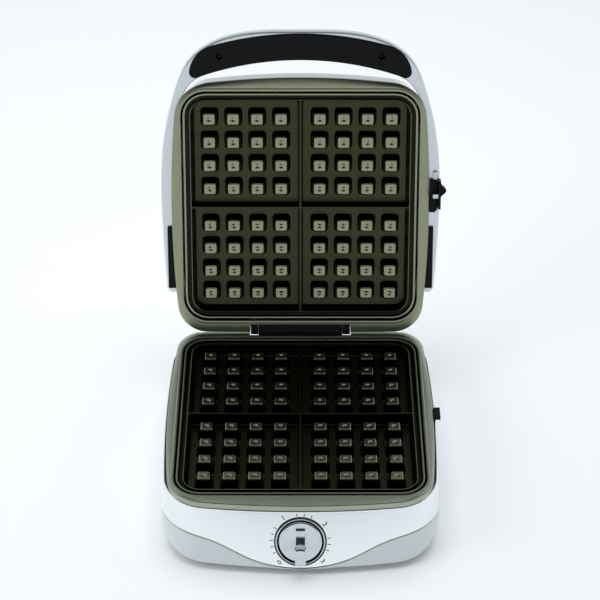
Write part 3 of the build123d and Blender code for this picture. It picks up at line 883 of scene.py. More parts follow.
class Desk:
    """Where one material or world is put together, node by node."""

    def __init__(self, tree: bpy.types.NodeTree) -> None:
        """Starts with an empty tree.

        Args:
            tree: the tree to work in.
        """
        self.tree = tree
        tree.nodes.clear()

    def node(self, kind: str, settings: dict[str, Any] | None = None, links: dict[Any, Any] | None = None) -> Any:
        """Adds a node.

        Args:
            kind: the node's type.
            settings: its properties, set first; "stops" gives a colour ramp's positions and colours.
            links: a value, a Wire or an output socket for each of its inputs, by name or number.

        Returns:
            The node.
        """
        made = self.tree.nodes.new(kind)
        for key, value in (settings or {}).items():
            if key == "stops":
                self._set_stops(made.color_ramp, value)
            else:
                setattr(made, key, value)
        for key, value in (links or {}).items():
            source = value.socket if isinstance(value, Wire) else value
            if isinstance(source, bpy.types.NodeSocket):
                self.tree.links.new(source, made.inputs[key])
            else:
                made.inputs[key].default_value = source
        return made

    @staticmethod
    def _set_stops(ramp: bpy.types.ColorRamp, stops: Sequence[tuple[float, Rgb]]) -> None:
        """Gives a colour ramp its stops.

        Args:
            ramp: the colour ramp.
            stops: a position and a colour for each stop.
        """
        while len(ramp.elements) < len(stops):
            ramp.elements.new(1.0)
        for element, (position, colour) in zip(ramp.elements, stops):
            element.position = position
            element.color = (*colour, 1.0)

    def number(self, kind: str, settings: dict[str, Any] | None, links: dict[Any, Any], out: Any = 0) -> Wire:
        """Adds a node and wraps one of its outputs.

        Args:
            kind: the node's type.
            settings: its properties.
            links: its inputs.
            out: which output to wrap.

        Returns:
            The wrapped output.
        """
        return Wire(self, self.node(kind, settings, links).outputs[out])

    def coordinates(self, stretch: Rgb = (1, 1, 1), lean: float = 0.0) -> bpy.types.NodeSocket:
        """The object's own coordinates, turned about x and then stretched.

        Args:
            stretch: the scale along each axis.
            lean: the turn about x, in degrees.

        Returns:
            The coordinates' socket.
        """
        given = self.node("ShaderNodeTexCoord").outputs["Object"]
        turned = self.node("ShaderNodeMapping", links={"Vector": given, "Rotation": (math.radians(lean), 0, 0)})
        return self.node("ShaderNodeMapping", links={"Vector": turned.outputs[0], "Scale": stretch}).outputs[0]

    def noise(self, where: bpy.types.NodeSocket, scale: float, detail: float = 2.0, rough: float = 0.5) -> Wire:
        """Smooth noise, about a half everywhere.

        Args:
            where: the coordinates to sample at.
            scale: how fine it is.
            detail: how many octaves it adds.
            rough: how strong the finer octaves are.

        Returns:
            The noise.
        """
        links = {"Vector": where, "Scale": scale, "Detail": detail, "Roughness": rough}
        return self.number("ShaderNodeTexNoise", None, links)

    def blend(self, amount: Wire | float, first: Any, second: Any) -> bpy.types.NodeSocket:
        """Mixes two colours.

        Args:
            amount: the share of the second.
            first: the first value or row.
            second: the second value or row.

        Returns:
            The mixed colour's socket.
        """
        links = {0: amount, 6: self._rgba(first), 7: self._rgba(second)}
        return self.node("ShaderNodeMix", {"data_type": "RGBA"}, links).outputs[2]

    @staticmethod
    def _rgba(colour: Any) -> Any:
        """A colour with its alpha, or a socket as it is.

        Args:
            colour: the colour.

        Returns:
            Four numbers or the socket.
        """
        return (*colour, 1.0) if isinstance(colour, tuple) else colour

    def bump(self, height: Wire, strength: float, depth: float) -> bpy.types.NodeSocket:
        """A normal roughened by a height, in metres.

        Args:
            height: the height to raise.
            strength: how strongly it shows.
            depth: the depth, in the space that it is used in.

        Returns:
            The normal's socket.
        """
        links = {"Height": height, "Strength": strength, "Distance": depth}
        return self.node("ShaderNodeBump", links=links).outputs[0]

    def surface(self, colour: Any, roughness: Wire | float, normal: Any, fixed: dict[str, Any]) -> None:
        """Ends the tree in a Principled surface.

        Args:
            colour: the base colour, as a socket or three numbers.
            roughness: the roughness.
            normal: a bumped normal, or None.
            fixed: plain values for other sockets.
        """
        links = {"Base Color": self._rgba(colour), "Roughness": roughness, **fixed}
        if normal is not None:
            links["Normal"] = normal
        shader = self.node("ShaderNodeBsdfPrincipled", links=links)
        self.node("ShaderNodeOutputMaterial", links={"Surface": shader.outputs[0]})


def shade(colour: Rgb, by: float) -> Rgb:
    """A colour made lighter or darker by a share of itself.

    Args:
        colour: the colour.
        by: the share, which may be below 0.

    Returns:
        The new colour.
    """
    red, green, blue = (min(1.0, channel * (1 + by)) for channel in colour)
    return red, green, blue


# ---------------------------------------------------------------- finishes


@dataclass(frozen=True)
class Finish(ABC):
    """A surface finish: its name, the record's slot it belongs to, its colour and its roughness."""

    name: str
    slot: str
    colour: Rgb
    roughness: float

    def material(self) -> bpy.types.Material:
        """The finish as a material, made the first time it is asked for.

        Returns:
            The material.
        """
        made = bpy.data.materials.get(self.name)
        if made is None:
            made = bpy.data.materials.new(self.name)
            made.use_nodes = True
            self.mix(Desk(made.node_tree))
        return made

    @abstractmethod
    def mix(self, desk: Desk) -> None:
        """Puts the material together on a desk.

        Args:
            desk: where the material is put together.
        """


@dataclass(frozen=True)
class Metal(Finish):
    """Bare, plated or coated metal, with a fine grain and a broad drift of tone."""

    grain: float = 1400.0
    stretch: Rgb = (1.0, 1.0, 1.0)
    lean: float = 0.0
    drift: float = 0.05
    fleck: float = 0.06
    relief: float = 0.04
    wander: float = 0.04
    coat: float = 0.0
    metallic: float = 1.0

    def mix(self, desk: Desk) -> None:
        """Grain and drift vary the tone and the gloss, and the grain stands up a little.

        Args:
            desk: where the material is put together.
        """
        where = desk.coordinates(self.stretch, self.lean)
        fine = desk.noise(where, self.grain, 3.0, 0.6)
        broad = desk.noise(desk.coordinates(), 9.0, 2.0)
        smear = desk.noise(desk.coordinates((1.0, 0.35, 1.0)), 42.0, 3.0)
        tone = desk.blend(broad, shade(self.colour, -self.drift), shade(self.colour, self.drift))
        bright = desk.blend(broad, shade(self.colour, self.fleck), shade(self.colour, self.fleck + self.drift))
        colour = desk.blend(fine * fine, tone, bright)
        roughness = (self.roughness - self.wander) + smear * self.wander + fine * self.wander
        normal = desk.bump(fine, self.relief, 0.0002)
        fixed = {"Metallic": self.metallic, "Coat Weight": self.coat, "Coat Roughness": 0.08}
        desk.surface(colour, roughness.clamp(), normal, fixed)


@dataclass(frozen=True)
class Moulding(Finish):
    """Moulded plastic or rubber with a spark-eroded grain."""

    grain: float = 2600.0
    relief: float = 0.12
    fleck: float = 0.25
    gloss: float = 0.5

    def mix(self, desk: Desk) -> None:
        """A pebbled grain, with faint handling marks in the gloss.

        Args:
            desk: where the material is put together.
        """
        where = desk.coordinates()
        pebble = desk.number("ShaderNodeTexVoronoi", None, {"Vector": where, "Scale": self.grain}, "Distance")
        fine = desk.noise(where, self.grain * 0.6, 2.0)
        rubbed = desk.noise(where, 30.0, 4.0, 0.6)
        colour = desk.blend(fine, shade(self.colour, -self.fleck), shade(self.colour, self.fleck))
        roughness = (self.roughness - 0.06) + rubbed * 0.12
        normal = desk.bump(pebble * 0.6 + fine * 0.4, self.relief, 0.00015)
        desk.surface(colour, roughness.clamp(), normal, {"Metallic": 0.0, "Specular IOR Level": self.gloss})


@dataclass(frozen=True)
class Earthenware(Finish):
    """Fired ceramic with a thin glaze."""

    def mix(self, desk: Desk) -> None:
        """Fine pits under a glaze, with a warm drift of tone.

        Args:
            desk: where the material is put together.
        """
        where = desk.coordinates()
        pits = desk.noise(where, 900.0, 4.0, 0.7)
        drift = desk.noise(where, 60.0)
        colour = desk.blend(drift, shade(self.colour, -0.06), shade(self.colour, 0.03))
        roughness = self.roughness + pits * 0.15
        desk.surface(colour, roughness.clamp(), desk.bump(pits, 0.1, 0.0002), {"Coat Weight": 0.4})


@dataclass(frozen=True)
class Finishes:
    """Every finish of the waffle maker."""

    crest: Finish = Metal("nonstick_crest", "nonstick_plate", (0.285, 0.285, 0.185), 0.25, grain=2200.0,
                          drift=0.06, fleck=0.12, relief=0.04, wander=0.04)
    # Painted shade: well and wall are darker copies of the same non-stick coating as crest, laid on the wells' floors
    # and on the pegs' and moat's sides where shade falls.
    well: Finish = Metal("nonstick_well_painted_shade", "nonstick_plate", (0.055, 0.053, 0.030), 0.34, grain=2200.0,
                         drift=0.08, fleck=0.12, relief=0.05, wander=0.05)
    # Painted shade: the darkest copy, for the pegs' sides, the wells' walls and the moat.
    wall: Finish = Metal("nonstick_wall_painted_shade", "nonstick_plate", (0.016, 0.016, 0.011), 0.30, grain=2200.0,
                         drift=0.08, fleck=0.12, relief=0.05, wander=0.05)
    frame_metal: Finish = Metal("bronze_satin", "bronze_frame", (0.30, 0.31, 0.215), 0.30, grain=1500.0,
                                stretch=(0.3, 1.0, 1.0), drift=0.05, fleck=0.08, relief=0.05)
    polished: Finish = Metal("polished_steel", "polished_steel", (0.70, 0.745, 0.775), 0.10, grain=700.0,
                             drift=0.015, fleck=0.02, relief=0.006, wander=0.03)
    shell: Finish = Metal("silver_shell", "silver_shell", (0.68, 0.73, 0.76), 0.16, grain=1800.0,
                          drift=0.015, fleck=0.03, relief=0.012, wander=0.03, coat=0.3)
    handle: Finish = Metal("handle_silver", "handle_silver", (0.56, 0.61, 0.65), 0.20, grain=1800.0,
                           drift=0.02, fleck=0.03, relief=0.012, wander=0.04, coat=0.3)
    knob: Finish = Metal("knob_satin", "knob_metal", (0.62, 0.66, 0.70), 0.16, grain=1200.0,
                         drift=0.01, fleck=0.02, relief=0.01, wander=0.03)
    black: Finish = Moulding("black_moulding", "black_plastic", (0.004, 0.004, 0.0045), 0.48, gloss=0.16)
    gloss_black: Finish = Moulding("gloss_black", "gloss_black", (0.004, 0.004, 0.0045), 0.22, relief=0.03, gloss=0.2)
    ink: Finish = Moulding("scale_ink", "gloss_black", (0.018, 0.019, 0.021), 0.5, relief=0.05)
    zinc: Finish = Metal("zinc_steel", "bright_steel", (0.60, 0.61, 0.62), 0.28, grain=500.0, drift=0.1, fleck=0.1)
    tray: Finish = Metal("tray_aluminium", "tray_sheet", (0.68, 0.69, 0.70), 0.34, stretch=(0.04, 1.0, 1.0))
    bronze: Finish = Metal("sintered_bronze", "bronze", (0.48, 0.31, 0.16), 0.42, grain=2600.0, relief=0.15)
    rubber: Finish = Moulding("foot_rubber", "rubber", (0.022, 0.022, 0.022), 0.72, relief=0.2, gloss=0.3)
    # Painted shade: a near-black copy under the shell's own slot, for the shells' inner faces, so that the seam's gap
    # reads dark.
    inside_painted_shade: Finish = Metal("painted_shade_inside", "silver_shell", (0.05, 0.052, 0.055), 0.5, grain=900.0, drift=0.1, fleck=0.1)
    blackened: Finish = Metal("blackened_steel", "bright_steel", (0.03, 0.03, 0.032), 0.4, grain=500.0, drift=0.1)
    # Painted sheen: a lighter copy of the lid ring's bronze, for the base ring, standing in for the bright room that
    # it reflects.
    bronze_base_painted_sheen: Finish = Metal("bronze_satin_base_painted_sheen", "bronze_frame", (0.36, 0.38, 0.30), 0.30, grain=1500.0,
                               stretch=(0.3, 1.0, 1.0), drift=0.05, fleck=0.08, relief=0.05)
    ceramic: Finish = Earthenware("glazed_ceramic", "ceramic", (0.82, 0.79, 0.74), 0.25)


FINISH = Finishes()


def publish(piece: bpy.types.Object, body: Body, finishes: Sequence[Finish], nodes: Sequence[str] = ()) -> None:
    """Dresses a finished piece, hangs it on its body's empty and hides the CAD nodes that it stands for.

    Args:
        piece: the finished piece.
        body: the body that it moves with.
        finishes: its finishes, the first one being its main one.
        nodes: the CAD nodes that it stands for.
    """
    held = [made.name if made else "" for made in piece.data.materials]
    wanted = [finish.name for finish in finishes]
    marks = []
    for face in piece.data.polygons:
        mark = face.material_index
        name = held[mark] if mark < len(held) else ""
        marks.append(wanted.index(name) if name in wanted else min(mark, len(wanted) - 1))
    piece.data.materials.clear()
    for finish in finishes:
        piece.data.materials.append(finish.material())
    piece.data.polygons.foreach_set("material_index", marks)
    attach(piece, body.value)
    if nodes:
        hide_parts(*nodes)
    LOG.info("%s: %d faces, rides on %s", piece.name, len(piece.data.polygons), body.value)


def refine(name: str, node: str, body: Body, finish: Finish, radius: float, steps: int) -> None:
    """Copies a CAD node, rounds its edges and publishes it.

    Args:
        name: the new piece's name.
        node: the node to copy.
        body: the body that it moves with.
        finish: its finish.
        radius: the rounding's radius in millimetres.
        steps: faces across each rounding.
    """
    publish(settle(soften(from_cad(name, node), radius, steps)), body, [finish], [node])


def plant(
    recipe: Recipe,
    name: str,
    part: bpy.types.Object,
    spots: Path3,
    place: Matrix,
    body: Body,
    finish: Finish,
    node: str,
) -> None:
    """Sets one part at several points, and publishes the lot as one piece.

    Args:
        recipe: the tree that does the setting.
        name: the new piece's name.
        part: the part, which is used up.
        spots: where the part goes, in millimetres.
        place: the matrix from the local frame to the object's frame.
        body: the body that it moves with.
        finish: its finish.
        node: the CAD node that it stands for.
    """
    piece = recipe.grow(name, {"Part": part, "Material": finish.material()}, points_mesh(spots))
    bpy.data.objects.remove(part)
    piece.data.transform(place)
    publish(settle(piece), body, [finish], [node])


# ---------------------------------------------------------------- waffle plates


@dataclass
class WafflePlate:
    """A cast plate with a rim, an overflow moat, four wells of pegs and a cross-shaped divider."""

    name: str
    node: str
    body: Body
    place: Matrix
    half: float = 122.6
    front: float = PLATE_FRONT
    rear: float = 123.6
    corner: float = 24.0
    rim_rise: float = RIM_RISE
    rim_width: float = 2.3
    moat_width: float = 4.6
    moat_depth: float = 3.0
    ridge_width: float = 1.2
    depth: float = 14.0
    floor: float = 3.0
    well_taper: float = 12.0
    divider_half: float = 1.0
    divider_taper: float = 6.0
    pitch: float = 25.0
    pegs_a_row: int = 4
    first_peg: float = 20.2
    peg_top: float = 6.2
    peg_foot: float = 8.8
    dimple: float = 2.5
    dimple_depth: float = 0.8

    @property
    def field_middle(self) -> float:
        """From the plate's middle to the middle of one field of pegs.

        Returns:
            The distance, in millimetres.
        """
        return self.first_peg + self.pitch * (self.pegs_a_row - 1) / 2

    def _peg(self) -> bpy.types.Object:
        """One peg with the square of floor round it, in millimetres.

        Returns:
            The peg.
        """
        slope = (self.peg_foot - self.peg_top) / self.depth
        half = self.pitch / 2
        levels = [
            (self.peg_foot + 1.25, 3.9, -self.depth),
            (self.peg_foot + 0.62, 3.6, -self.depth + 0.14),
            (self.peg_foot + 0.14, 3.4, -self.depth + 0.52),
            (self.peg_foot - 0.22, 3.2, -self.depth + 1.2),
            (self.peg_top + 1.35 * slope + 0.02, 2.3, -1.35),
            (self.peg_top - 0.10, 2.15, -0.72),
            (self.peg_top - 0.42, 1.95, -0.28),
            (self.peg_top - 0.85, 1.7, -0.05),
            (self.peg_top - 1.25, 1.5, 0.0),
            (self.dimple + 0.25, self.dimple + 0.25, 0.0),
            (self.dimple - 0.05, self.dimple - 0.05, -0.06),
            (self.dimple * 0.78, self.dimple * 0.78, -self.dimple_depth * 0.42),
            (self.dimple * 0.52, self.dimple * 0.52, -self.dimple_depth * 0.75),
            (self.dimple * 0.24, self.dimple * 0.24, -self.dimple_depth * 0.95),
            (0.01, 0.01, -self.dimple_depth),
        ]
        draft = Draft()
        loops = [lift(box_loop((-h, -h), (h, h), (r,) * 4, 5), z) for h, r, z in levels]
        # Painted shade: the peg's foot band takes the darker well copy of the coating and its sides the darkest wall
        # copy, and the square of floor round it takes the well copy too; its top and dimple keep the coating's own
        # colour.
        rows = draft.loft(loops, paints=[1] + [2] * 4 + [0] * 9)
        corners = draft.row(lift(np.array([(-half, -half), (half, -half), (half, half), (-half, half)]), -self.depth))
        steps = 6
        for i in range(4):
            j = (i + 1) % 4
            foot = rows[0][i * steps + 3 : (i + 1) * steps] + rows[0][j * steps : j * steps + 4]
            draft.face([corners[i], corners[j], *reversed(foot)], 1)
        return draft.done(f"{self.name}_peg", Matrix.Identity(4))

    def _quarter(self, draft: Draft, sx: int, sy: int) -> None:
        """One quarter of the plate without its pegs.

        Args:
            draft: the mesh in the making.
            sx: 1 for the right half, -1 for the left.
            sy: 1 for the rear half, -1 for the front.
        """
        reach = Vector((self.half, self.rear if sy > 0 else self.front))
        sign = np.array([sx, sy, 1.0])

        def loop(gap: float, inset: float, z: float, small: float, big: float | None = None) -> np.ndarray:
            """The quarter's outline, set in from the middle lines and from the plate's edge.

            Args:
                gap: distance from the middle lines.
                inset: how far to set it in from the plate's edge.
                z: the height, in millimetres.
                small: rounding of three corners.
                big: rounding of the outer corner, or nothing to follow the plate's.

            Returns:
                The outline's points.
            """
            radius = max(self.corner - inset, 0.5) if big is None else big
            flat = box_loop((gap, gap), (reach.x - inset, reach.y - inset), (small, small, radius, small))
            return lift(flat, z) * sign

        edge = slice(7, 22)
        ridge = self.rim_width + self.moat_width
        well = ridge + self.ridge_width
        under = -self.depth - self.floor
        outside = [
            (0.9, under), (0.25, under + 0.25), (0.0, under + 0.9), (0.0, self.rim_rise - 0.55),
            (0.16, self.rim_rise - 0.16), (0.55, self.rim_rise), (1.75, self.rim_rise),
            (2.14, self.rim_rise - 0.16), (self.rim_width, self.rim_rise - 0.55),
            (self.rim_width + 0.25, -self.moat_depth + 0.9), (self.rim_width + 0.5, -self.moat_depth + 0.3),
            (self.rim_width + 1.1, -self.moat_depth), (ridge - 1.0, -self.moat_depth),
            (ridge - 0.4, -self.moat_depth + 0.3), (ridge - 0.15, -self.moat_depth + 0.9),
            (ridge, -0.4), (ridge + 0.12, -0.12), (ridge + 0.4, 0.0),
        ]
        # Painted shade: the moat's walls and bottom take the darkest wall copy of the coating.
        paints = [0] * 8 + [2] * 8 + [0]
        rows = draft.loft([loop(0.0, inset, z, 0.0)[edge] for inset, z in outside], closed=False, paints=paints)
        draft.face([draft.bm.verts.new((0, 0, under)), *rows[0]])
        drop, lean = 12.6, math.tan(math.radians(self.divider_taper))
        bank = math.tan(math.radians(self.well_taper))
        low_gap, low_inset = self.divider_half + drop * lean, well + drop * bank
        levels = [
            (0.0, ridge + 0.4, 0.0, 0.0, None),
            (self.divider_half - 0.38, well - 0.38, 0.0, 0.8, None),
            (self.divider_half - 0.12, well - 0.12, -0.1, 0.95, None),
            (self.divider_half, well, -0.42, 1.1, None),
            (low_gap, low_inset, -drop, 2.2, 12.8),
            (low_gap + 0.13, low_inset + 0.2, -13.3, 2.4, 11.5),
            (low_gap + 0.52, low_inset + 0.62, -13.82, 2.8, 10.0),
            (low_gap + 1.3, low_inset + 1.42, -self.depth, 3.4, 8.5),
        ]
        # Painted shade: the top edge of the divider and ridge and the wells' foot take the darker well copy, the
        # wells' walls the darkest wall copy; the floor round the pegs below takes the well copy too.
        rows = draft.loft([loop(*level) for level in levels], paints=[1, 1, 1, 2, 2, 1, 1])
        start = self.first_peg - self.pitch / 2
        marks = start + self.pitch * np.arange(self.pegs_a_row + 1)
        low, high = marks[0], marks[-1]
        square = (
            [(x, low) for x in marks[:-1]] + [(high, y) for y in marks[:-1]]
            + [(x, high) for x in marks[:0:-1]] + [(low, y) for y in marks[:0:-1]]
        )
        ring = draft.row(lift(np.array(square), -self.depth) * sign)
        steps, side = 7, self.pegs_a_row
        inner = rows[-1]
        for i in range(4):
            j = (i + 1) % 4
            near = [ring[(i * side + k) % len(ring)] for k in range(side + 1)]
            far = inner[i * steps + 3 : (i + 1) * steps] + inner[j * steps : j * steps + 4]
            draft.face([*near, *reversed(far)], 1)

    def _bosses(self, draft: Draft) -> None:
        """The four screw bosses under the plate, each with its blind hole.

        Args:
            draft: the mesh in the making.
        """
        under = -self.depth - self.floor
        profile = [(0, under + 0.2), (5.0, under + 0.2), (5.0, under - 5.6), (4.6, under - 6.0), (2.5, under - 6.0),
                   (2.05, under - 5.6), (2.05, under - 0.4), (0, under - 0.4)]
        for x in (-self.field_middle, self.field_middle):
            for y in (-self.field_middle, self.field_middle):
                draft.lathe(profile, 24, (x, y))

    def build(self, recipe: Recipe) -> bpy.types.Object:
        """Makes the plate.

        Args:
            recipe: the tree that sets the pegs and welds them to the plate.

        Returns:
            The new piece.
        """
        draft = Draft()
        for sx in (-1, 1):
            for sy in (-1, 1):
                self._quarter(draft, sx, sy)
        self._bosses(draft)
        body, peg = draft.done(f"{self.name}_body", Matrix.Identity(4)), self._peg()
        values = {
            "Plate": body,
            "Peg": peg,
            "Pitch": self.pitch,
            "Pegs a row": self.pegs_a_row,
            "Field spacing": 2 * self.field_middle,
            "Weld": 0.01,
            "Material": FINISH.crest.material(),
            "Painted shade well material": FINISH.well.material(),
            "Painted shade wall material": FINISH.wall.material(),
        }
        # The tone attribute carries each face's mark for the coating and its painted shade copies.
        for piece in (body, peg):
            tones = [face.material_index for face in piece.data.polygons]
            piece.data.attributes.new("tone", "INT", "FACE").data.foreach_set("value", tones)
        plate = recipe.grow(self.name, values)
        bpy.data.objects.remove(body)
        bpy.data.objects.remove(peg)
        bm = bmesh.new()
        bm.from_mesh(plate.data)
        bmesh.ops.recalc_face_normals(bm, faces=bm.faces)
        bm.transform(self.place)
        bm.to_mesh(plate.data)
        bm.free()
        return plate

    def dress(self, plate: bpy.types.Object) -> None:
        """Publishes the plate.

        Args:
            plate: the finished plate.
        """
        # The plate wears the coating and its two painted shade copies.
        publish(settle(plate, 30.0), self.body, [FINISH.crest, FINISH.well, FINISH.wall], [self.node])


# ---------------------------------------------------------------- metal frames


FRAME = Outline(136.0, -139.3, 139.8, 40.0, 10.0, 7.7, 0.8, 32.0)
FRAME_HOLE = Outline(124.7, -124.9, 126.0, 26.0)


@dataclass(frozen=True)
class Cut:
    """A block cut out of a frame: its plan, its corner rounding and its heights."""

    low: tuple[float, float]
    high: tuple[float, float]
    under: float
    radius: float = 0.4
    steps: int = 2
    over: float = 20.0


@dataclass
class FrameRing:
    """A metal frame round one plate: a raised inner lip, a crowned face, and a wall."""

    name: str
    node: str
    body: Body
    place: Matrix
    crest: float
    facing: float
    height: float
    grooved: bool
    cuts: tuple[Cut, ...]
    lip_width: float = 2.7
    crown: float = 1.0
    steps: int = 8

    def _between(self, share: float, drop: float) -> np.ndarray:
        """A loop across the crowned face, from the lip at 0 to the outer edge at 1.

        Args:
            share: 0 at the lip, 1 at the outer edge.
            drop: how far behind the lip's crest it lies.

        Returns:
            The loop's points.
        """
        inner = FRAME_HOLE.inset(-self.lip_width - 0.9).loop(24, 14)
        outer = FRAME.inset(0.9).loop(24, 14)
        return lift(inner + (outer - inner) * share, self._z(drop))

    def _z(self, drop: float) -> float:
        """The height of a point that lies a drop behind the lip's crest.

        Args:
            drop: how far behind the crest the point lies.

        Returns:
            The height.
        """
        return self.crest - self.facing * drop

    def _edge(self, outline: Outline, inset: float, drop: float) -> np.ndarray:
        """A loop that follows an outline.

        Args:
            outline: the outline to follow.
            inset: how far to set it in.
            drop: how far behind the lip's crest it lies.

        Returns:
            The loop's points.
        """
        return lift(outline.inset(inset).loop(24, 14), self._z(drop))

    def build(self) -> bpy.types.Object:
        """Makes the ring and cuts its steps and notches.

        Returns:
            The new piece.
        """
        loops = [
            self._edge(FRAME_HOLE, 0.0, self.height - 0.4),
            self._edge(FRAME_HOLE, 0.0, 0.7),
            self._edge(FRAME_HOLE, -0.18, 0.2),
            self._edge(FRAME_HOLE, -0.6, 0.0),
            self._edge(FRAME_HOLE, 0.3 - self.lip_width, 0.0),
            self._edge(FRAME_HOLE, -0.1 - self.lip_width, 0.16),
            self._edge(FRAME_HOLE, -0.4 - self.lip_width, 0.42),
        ]
        for i in range(self.steps + 1):
            share = i / self.steps
            loops.append(self._between(share, 0.42 + self.crown * share**2))
        low = 0.42 + self.crown
        loops += [self._edge(FRAME, 0.45, low + 0.14), self._edge(FRAME, 0.1, low + 0.36)]
        if self.grooved:
            loops += [
                self._edge(FRAME, 0.15, low + 0.55),
                self._edge(FRAME, 1.1, low + 0.62),
                self._edge(FRAME, 1.1, low + 1.15),
                self._edge(FRAME, 0.2, low + 1.25),
            ]
        loops += [
            self._edge(FRAME, 0.0, low + 1.7),
            self._edge(FRAME, 0.0, self.height - 0.6),
            self._edge(FRAME, 0.2, self.height - 0.15),
            self._edge(FRAME, 0.7, self.height),
            self._edge(FRAME_HOLE, -0.4, self.height),
        ]
        draft = Draft()
        draft.loft(loops, ring=True)
        piece = draft.done(self.name, self.place)
        for cut in self.cuts:
            plan = box_loop(cut.low, cut.high, (cut.radius,) * 4, cut.steps)
            carve_prism(piece, self.place, plan, cut.under, cut.over)
        return piece

    def dress(self, piece: bpy.types.Object) -> None:
        """Publishes the finished ring.

        Args:
            piece: the piece.
        """
        # Painted sheen: the base's grooved ring wears the lighter copy of the same bronze.
        finish = FINISH.bronze_base_painted_sheen if self.grooved else FINISH.frame_metal
        publish(settle(piece, 42.0), self.body, [finish], [self.node])


# ---------------------------------------------------------------- housing


@dataclass
class Housing:
    """The base's polished upper shell and silver lower shell, parted by a seam that dips under the dial."""

    place: Matrix
    dial: Matrix
    top: float = -8.1
    seam: float = -35.0
    floor: float = -66.0
    wall: float = 2.0
    gap: float = 0.75
    scoop_half: float = 122.0
    per_side: int = 44
    per_corner: int = 16
    dial_hole: float = 25.0
    gland: tuple[float, float, float] = (84.0, -50.0, 7.1)
    levels: tuple[tuple[float, ...], ...] = (
        (-7.4, 139.0, -137.9, 138.2, 46.0, 10.7),
        (-36.0, 141.0, -148.3, 139.6, 47.0, 12.2),
        (-52.0, 139.6, -154.2, 138.4, 46.0, 13.4),
        (-66.0, 134.0, -159.4, 132.0, 44.0, 14.6),
    )
    side_bow: float = 5.8
    rear_bow: float = 0.8
    scoop: Path2 = ((-78, -43.7), (-50, -56.2), (-25, -62.6), (0, -64.5), (25, -62.6), (50, -56.2), (78, -43.7))

    def __post_init__(self) -> None:
        """Samples the wall at close levels and the seam at close steps."""
        given = np.array(self.levels)
        self._heights = np.linspace(given[0, 0], given[-1, 0], 48)
        columns = []
        for k in range(1, 6):
            curve = smooth_path([(-row[0], row[k]) for row in given], 200)
            columns.append(np.interp(-self._heights, curve[:, 0], curve[:, 1]))
        loops = []
        for half, front, rear, corner, bow in np.array(columns).T:
            outline = Outline(half, front, rear, corner, bow, self.side_bow, self.rear_bow)
            loops.append(outline.loop(self.per_side, self.per_corner))
        self._loops = np.array(loops)
        ends = [(-150, self.seam), (-135, self.seam), (-self.scoop_half, self.seam)]
        mirrored = [(-x, z) for x, z in reversed(ends)]
        self._seam_line = smooth_path([*ends, *self.scoop, *mirrored], 400)

    def seam_at(self, x: np.ndarray, y: np.ndarray) -> np.ndarray:
        """The seam's height where the wall passes x and y.

        Args:
            x: distance to the right.
            y: distance to the back.

        Returns:
            The heights.
        """
        dipped = np.interp(x, self._seam_line[:, 0], self._seam_line[:, 1])
        return np.where(y < -60, dipped, self.seam)

    def at(self, z: np.ndarray, inset: np.ndarray | float = 0.0) -> np.ndarray:
        """The wall's points at a height of its own for each, set in from the outer face.

        Args:
            z: the height of each point round the wall.
            inset: how far inside the outer face each point lies.

        Returns:
            An array with a row of x, y and z for each point.
        """
        size = self._loops.shape[1]
        z = np.broadcast_to(z, size)
        step = self._heights[0] - self._heights[1]
        place = np.clip((self._heights[0] - z) / step, 0, len(self._heights) - 1.001)
        low = place.astype(int)
        share = (place - low)[:, None]
        columns = np.arange(size)
        flat = self._loops[low, columns] * (1 - share) + self._loops[low + 1, columns] * share
        along = np.roll(flat, -1, 0) - np.roll(flat, 1, 0)
        along /= np.linalg.norm(along, axis=1)[:, None]
        inward = np.stack([-along[:, 1], along[:, 0]], 1)
        return np.column_stack([flat + inward * np.reshape(inset, (-1, 1)), z])

    def _seam_loop(self) -> np.ndarray:
        """The seam's height for each point round the wall.

        Returns:
            The heights.
        """
        z = np.full(self._loops.shape[1], self.seam)
        for _ in range(6):
            here = self.at(z)
            z = self.seam_at(here[:, 0], here[:, 1])
        return z

    def _shell(self, name: str, high: np.ndarray, low: np.ndarray, top_round: float, foot_round: float,
               flange: float, rows: int = 22) -> bpy.types.Object:
        """A closed band of wall between two heights.

        Args:
            name: the piece's name.
            high: the upper edge's height round the wall.
            low: the lower edge's height round the wall.
            top_round: radius of the upper edge's rounding.
            foot_round: radius of the lower edge's rounding.
            flange: how far the upper edge turns in.
            rows: rows of faces down the wall.

        Returns:
            The new piece.
        """
        def rounding(distance: np.ndarray, radius: float) -> np.ndarray:
            """How far a rounding of a radius draws in the wall at a distance from its edge.

            Args:
                distance: the distance from the edge, for each point.
                radius: the radius, in millimetres.

            Returns:
                The distances.
            """
            left = np.clip(radius - distance, 0, radius)
            return radius - np.sqrt(np.maximum(radius**2 - left**2, 0))

        shares = (1 - np.cos(np.linspace(0, math.pi, rows))) / 2
        height = high - low
        loops = []
        for share in shares:
            z = high - height * share
            fit = np.minimum(1.0, height / (top_round + foot_round + 0.2))
            drawn = rounding((high - z) / fit, top_round) + rounding((z - low) / fit, foot_round)
            loops.append(self.at(z, drawn * fit))
        inner = max(self.wall, foot_round)
        loops.append(self.at(low, inner + 0.6))
        loops.append(self.at(low + np.minimum(self.wall, height * 0.4), inner + 0.6))
        for share in (0.75, 0.5, 0.25):
            loops.append(self.at(low + height * (1 - share), self.wall))
        loops.append(self.at(high - np.minimum(self.wall, height * 0.4), self.wall))
        if flange:
            loops.append(self.at(high - self.wall * 0.8, flange))
            loops.append(self.at(high, flange))
        draft = Draft()
        # The inner face rows take material 1, the near-black painted shade inside.
        draft.loft(loops, ring=True, paints=[0] * (rows - 1) + [1] * (len(loops) - rows + 1))
        return draft.done(name, self.place)

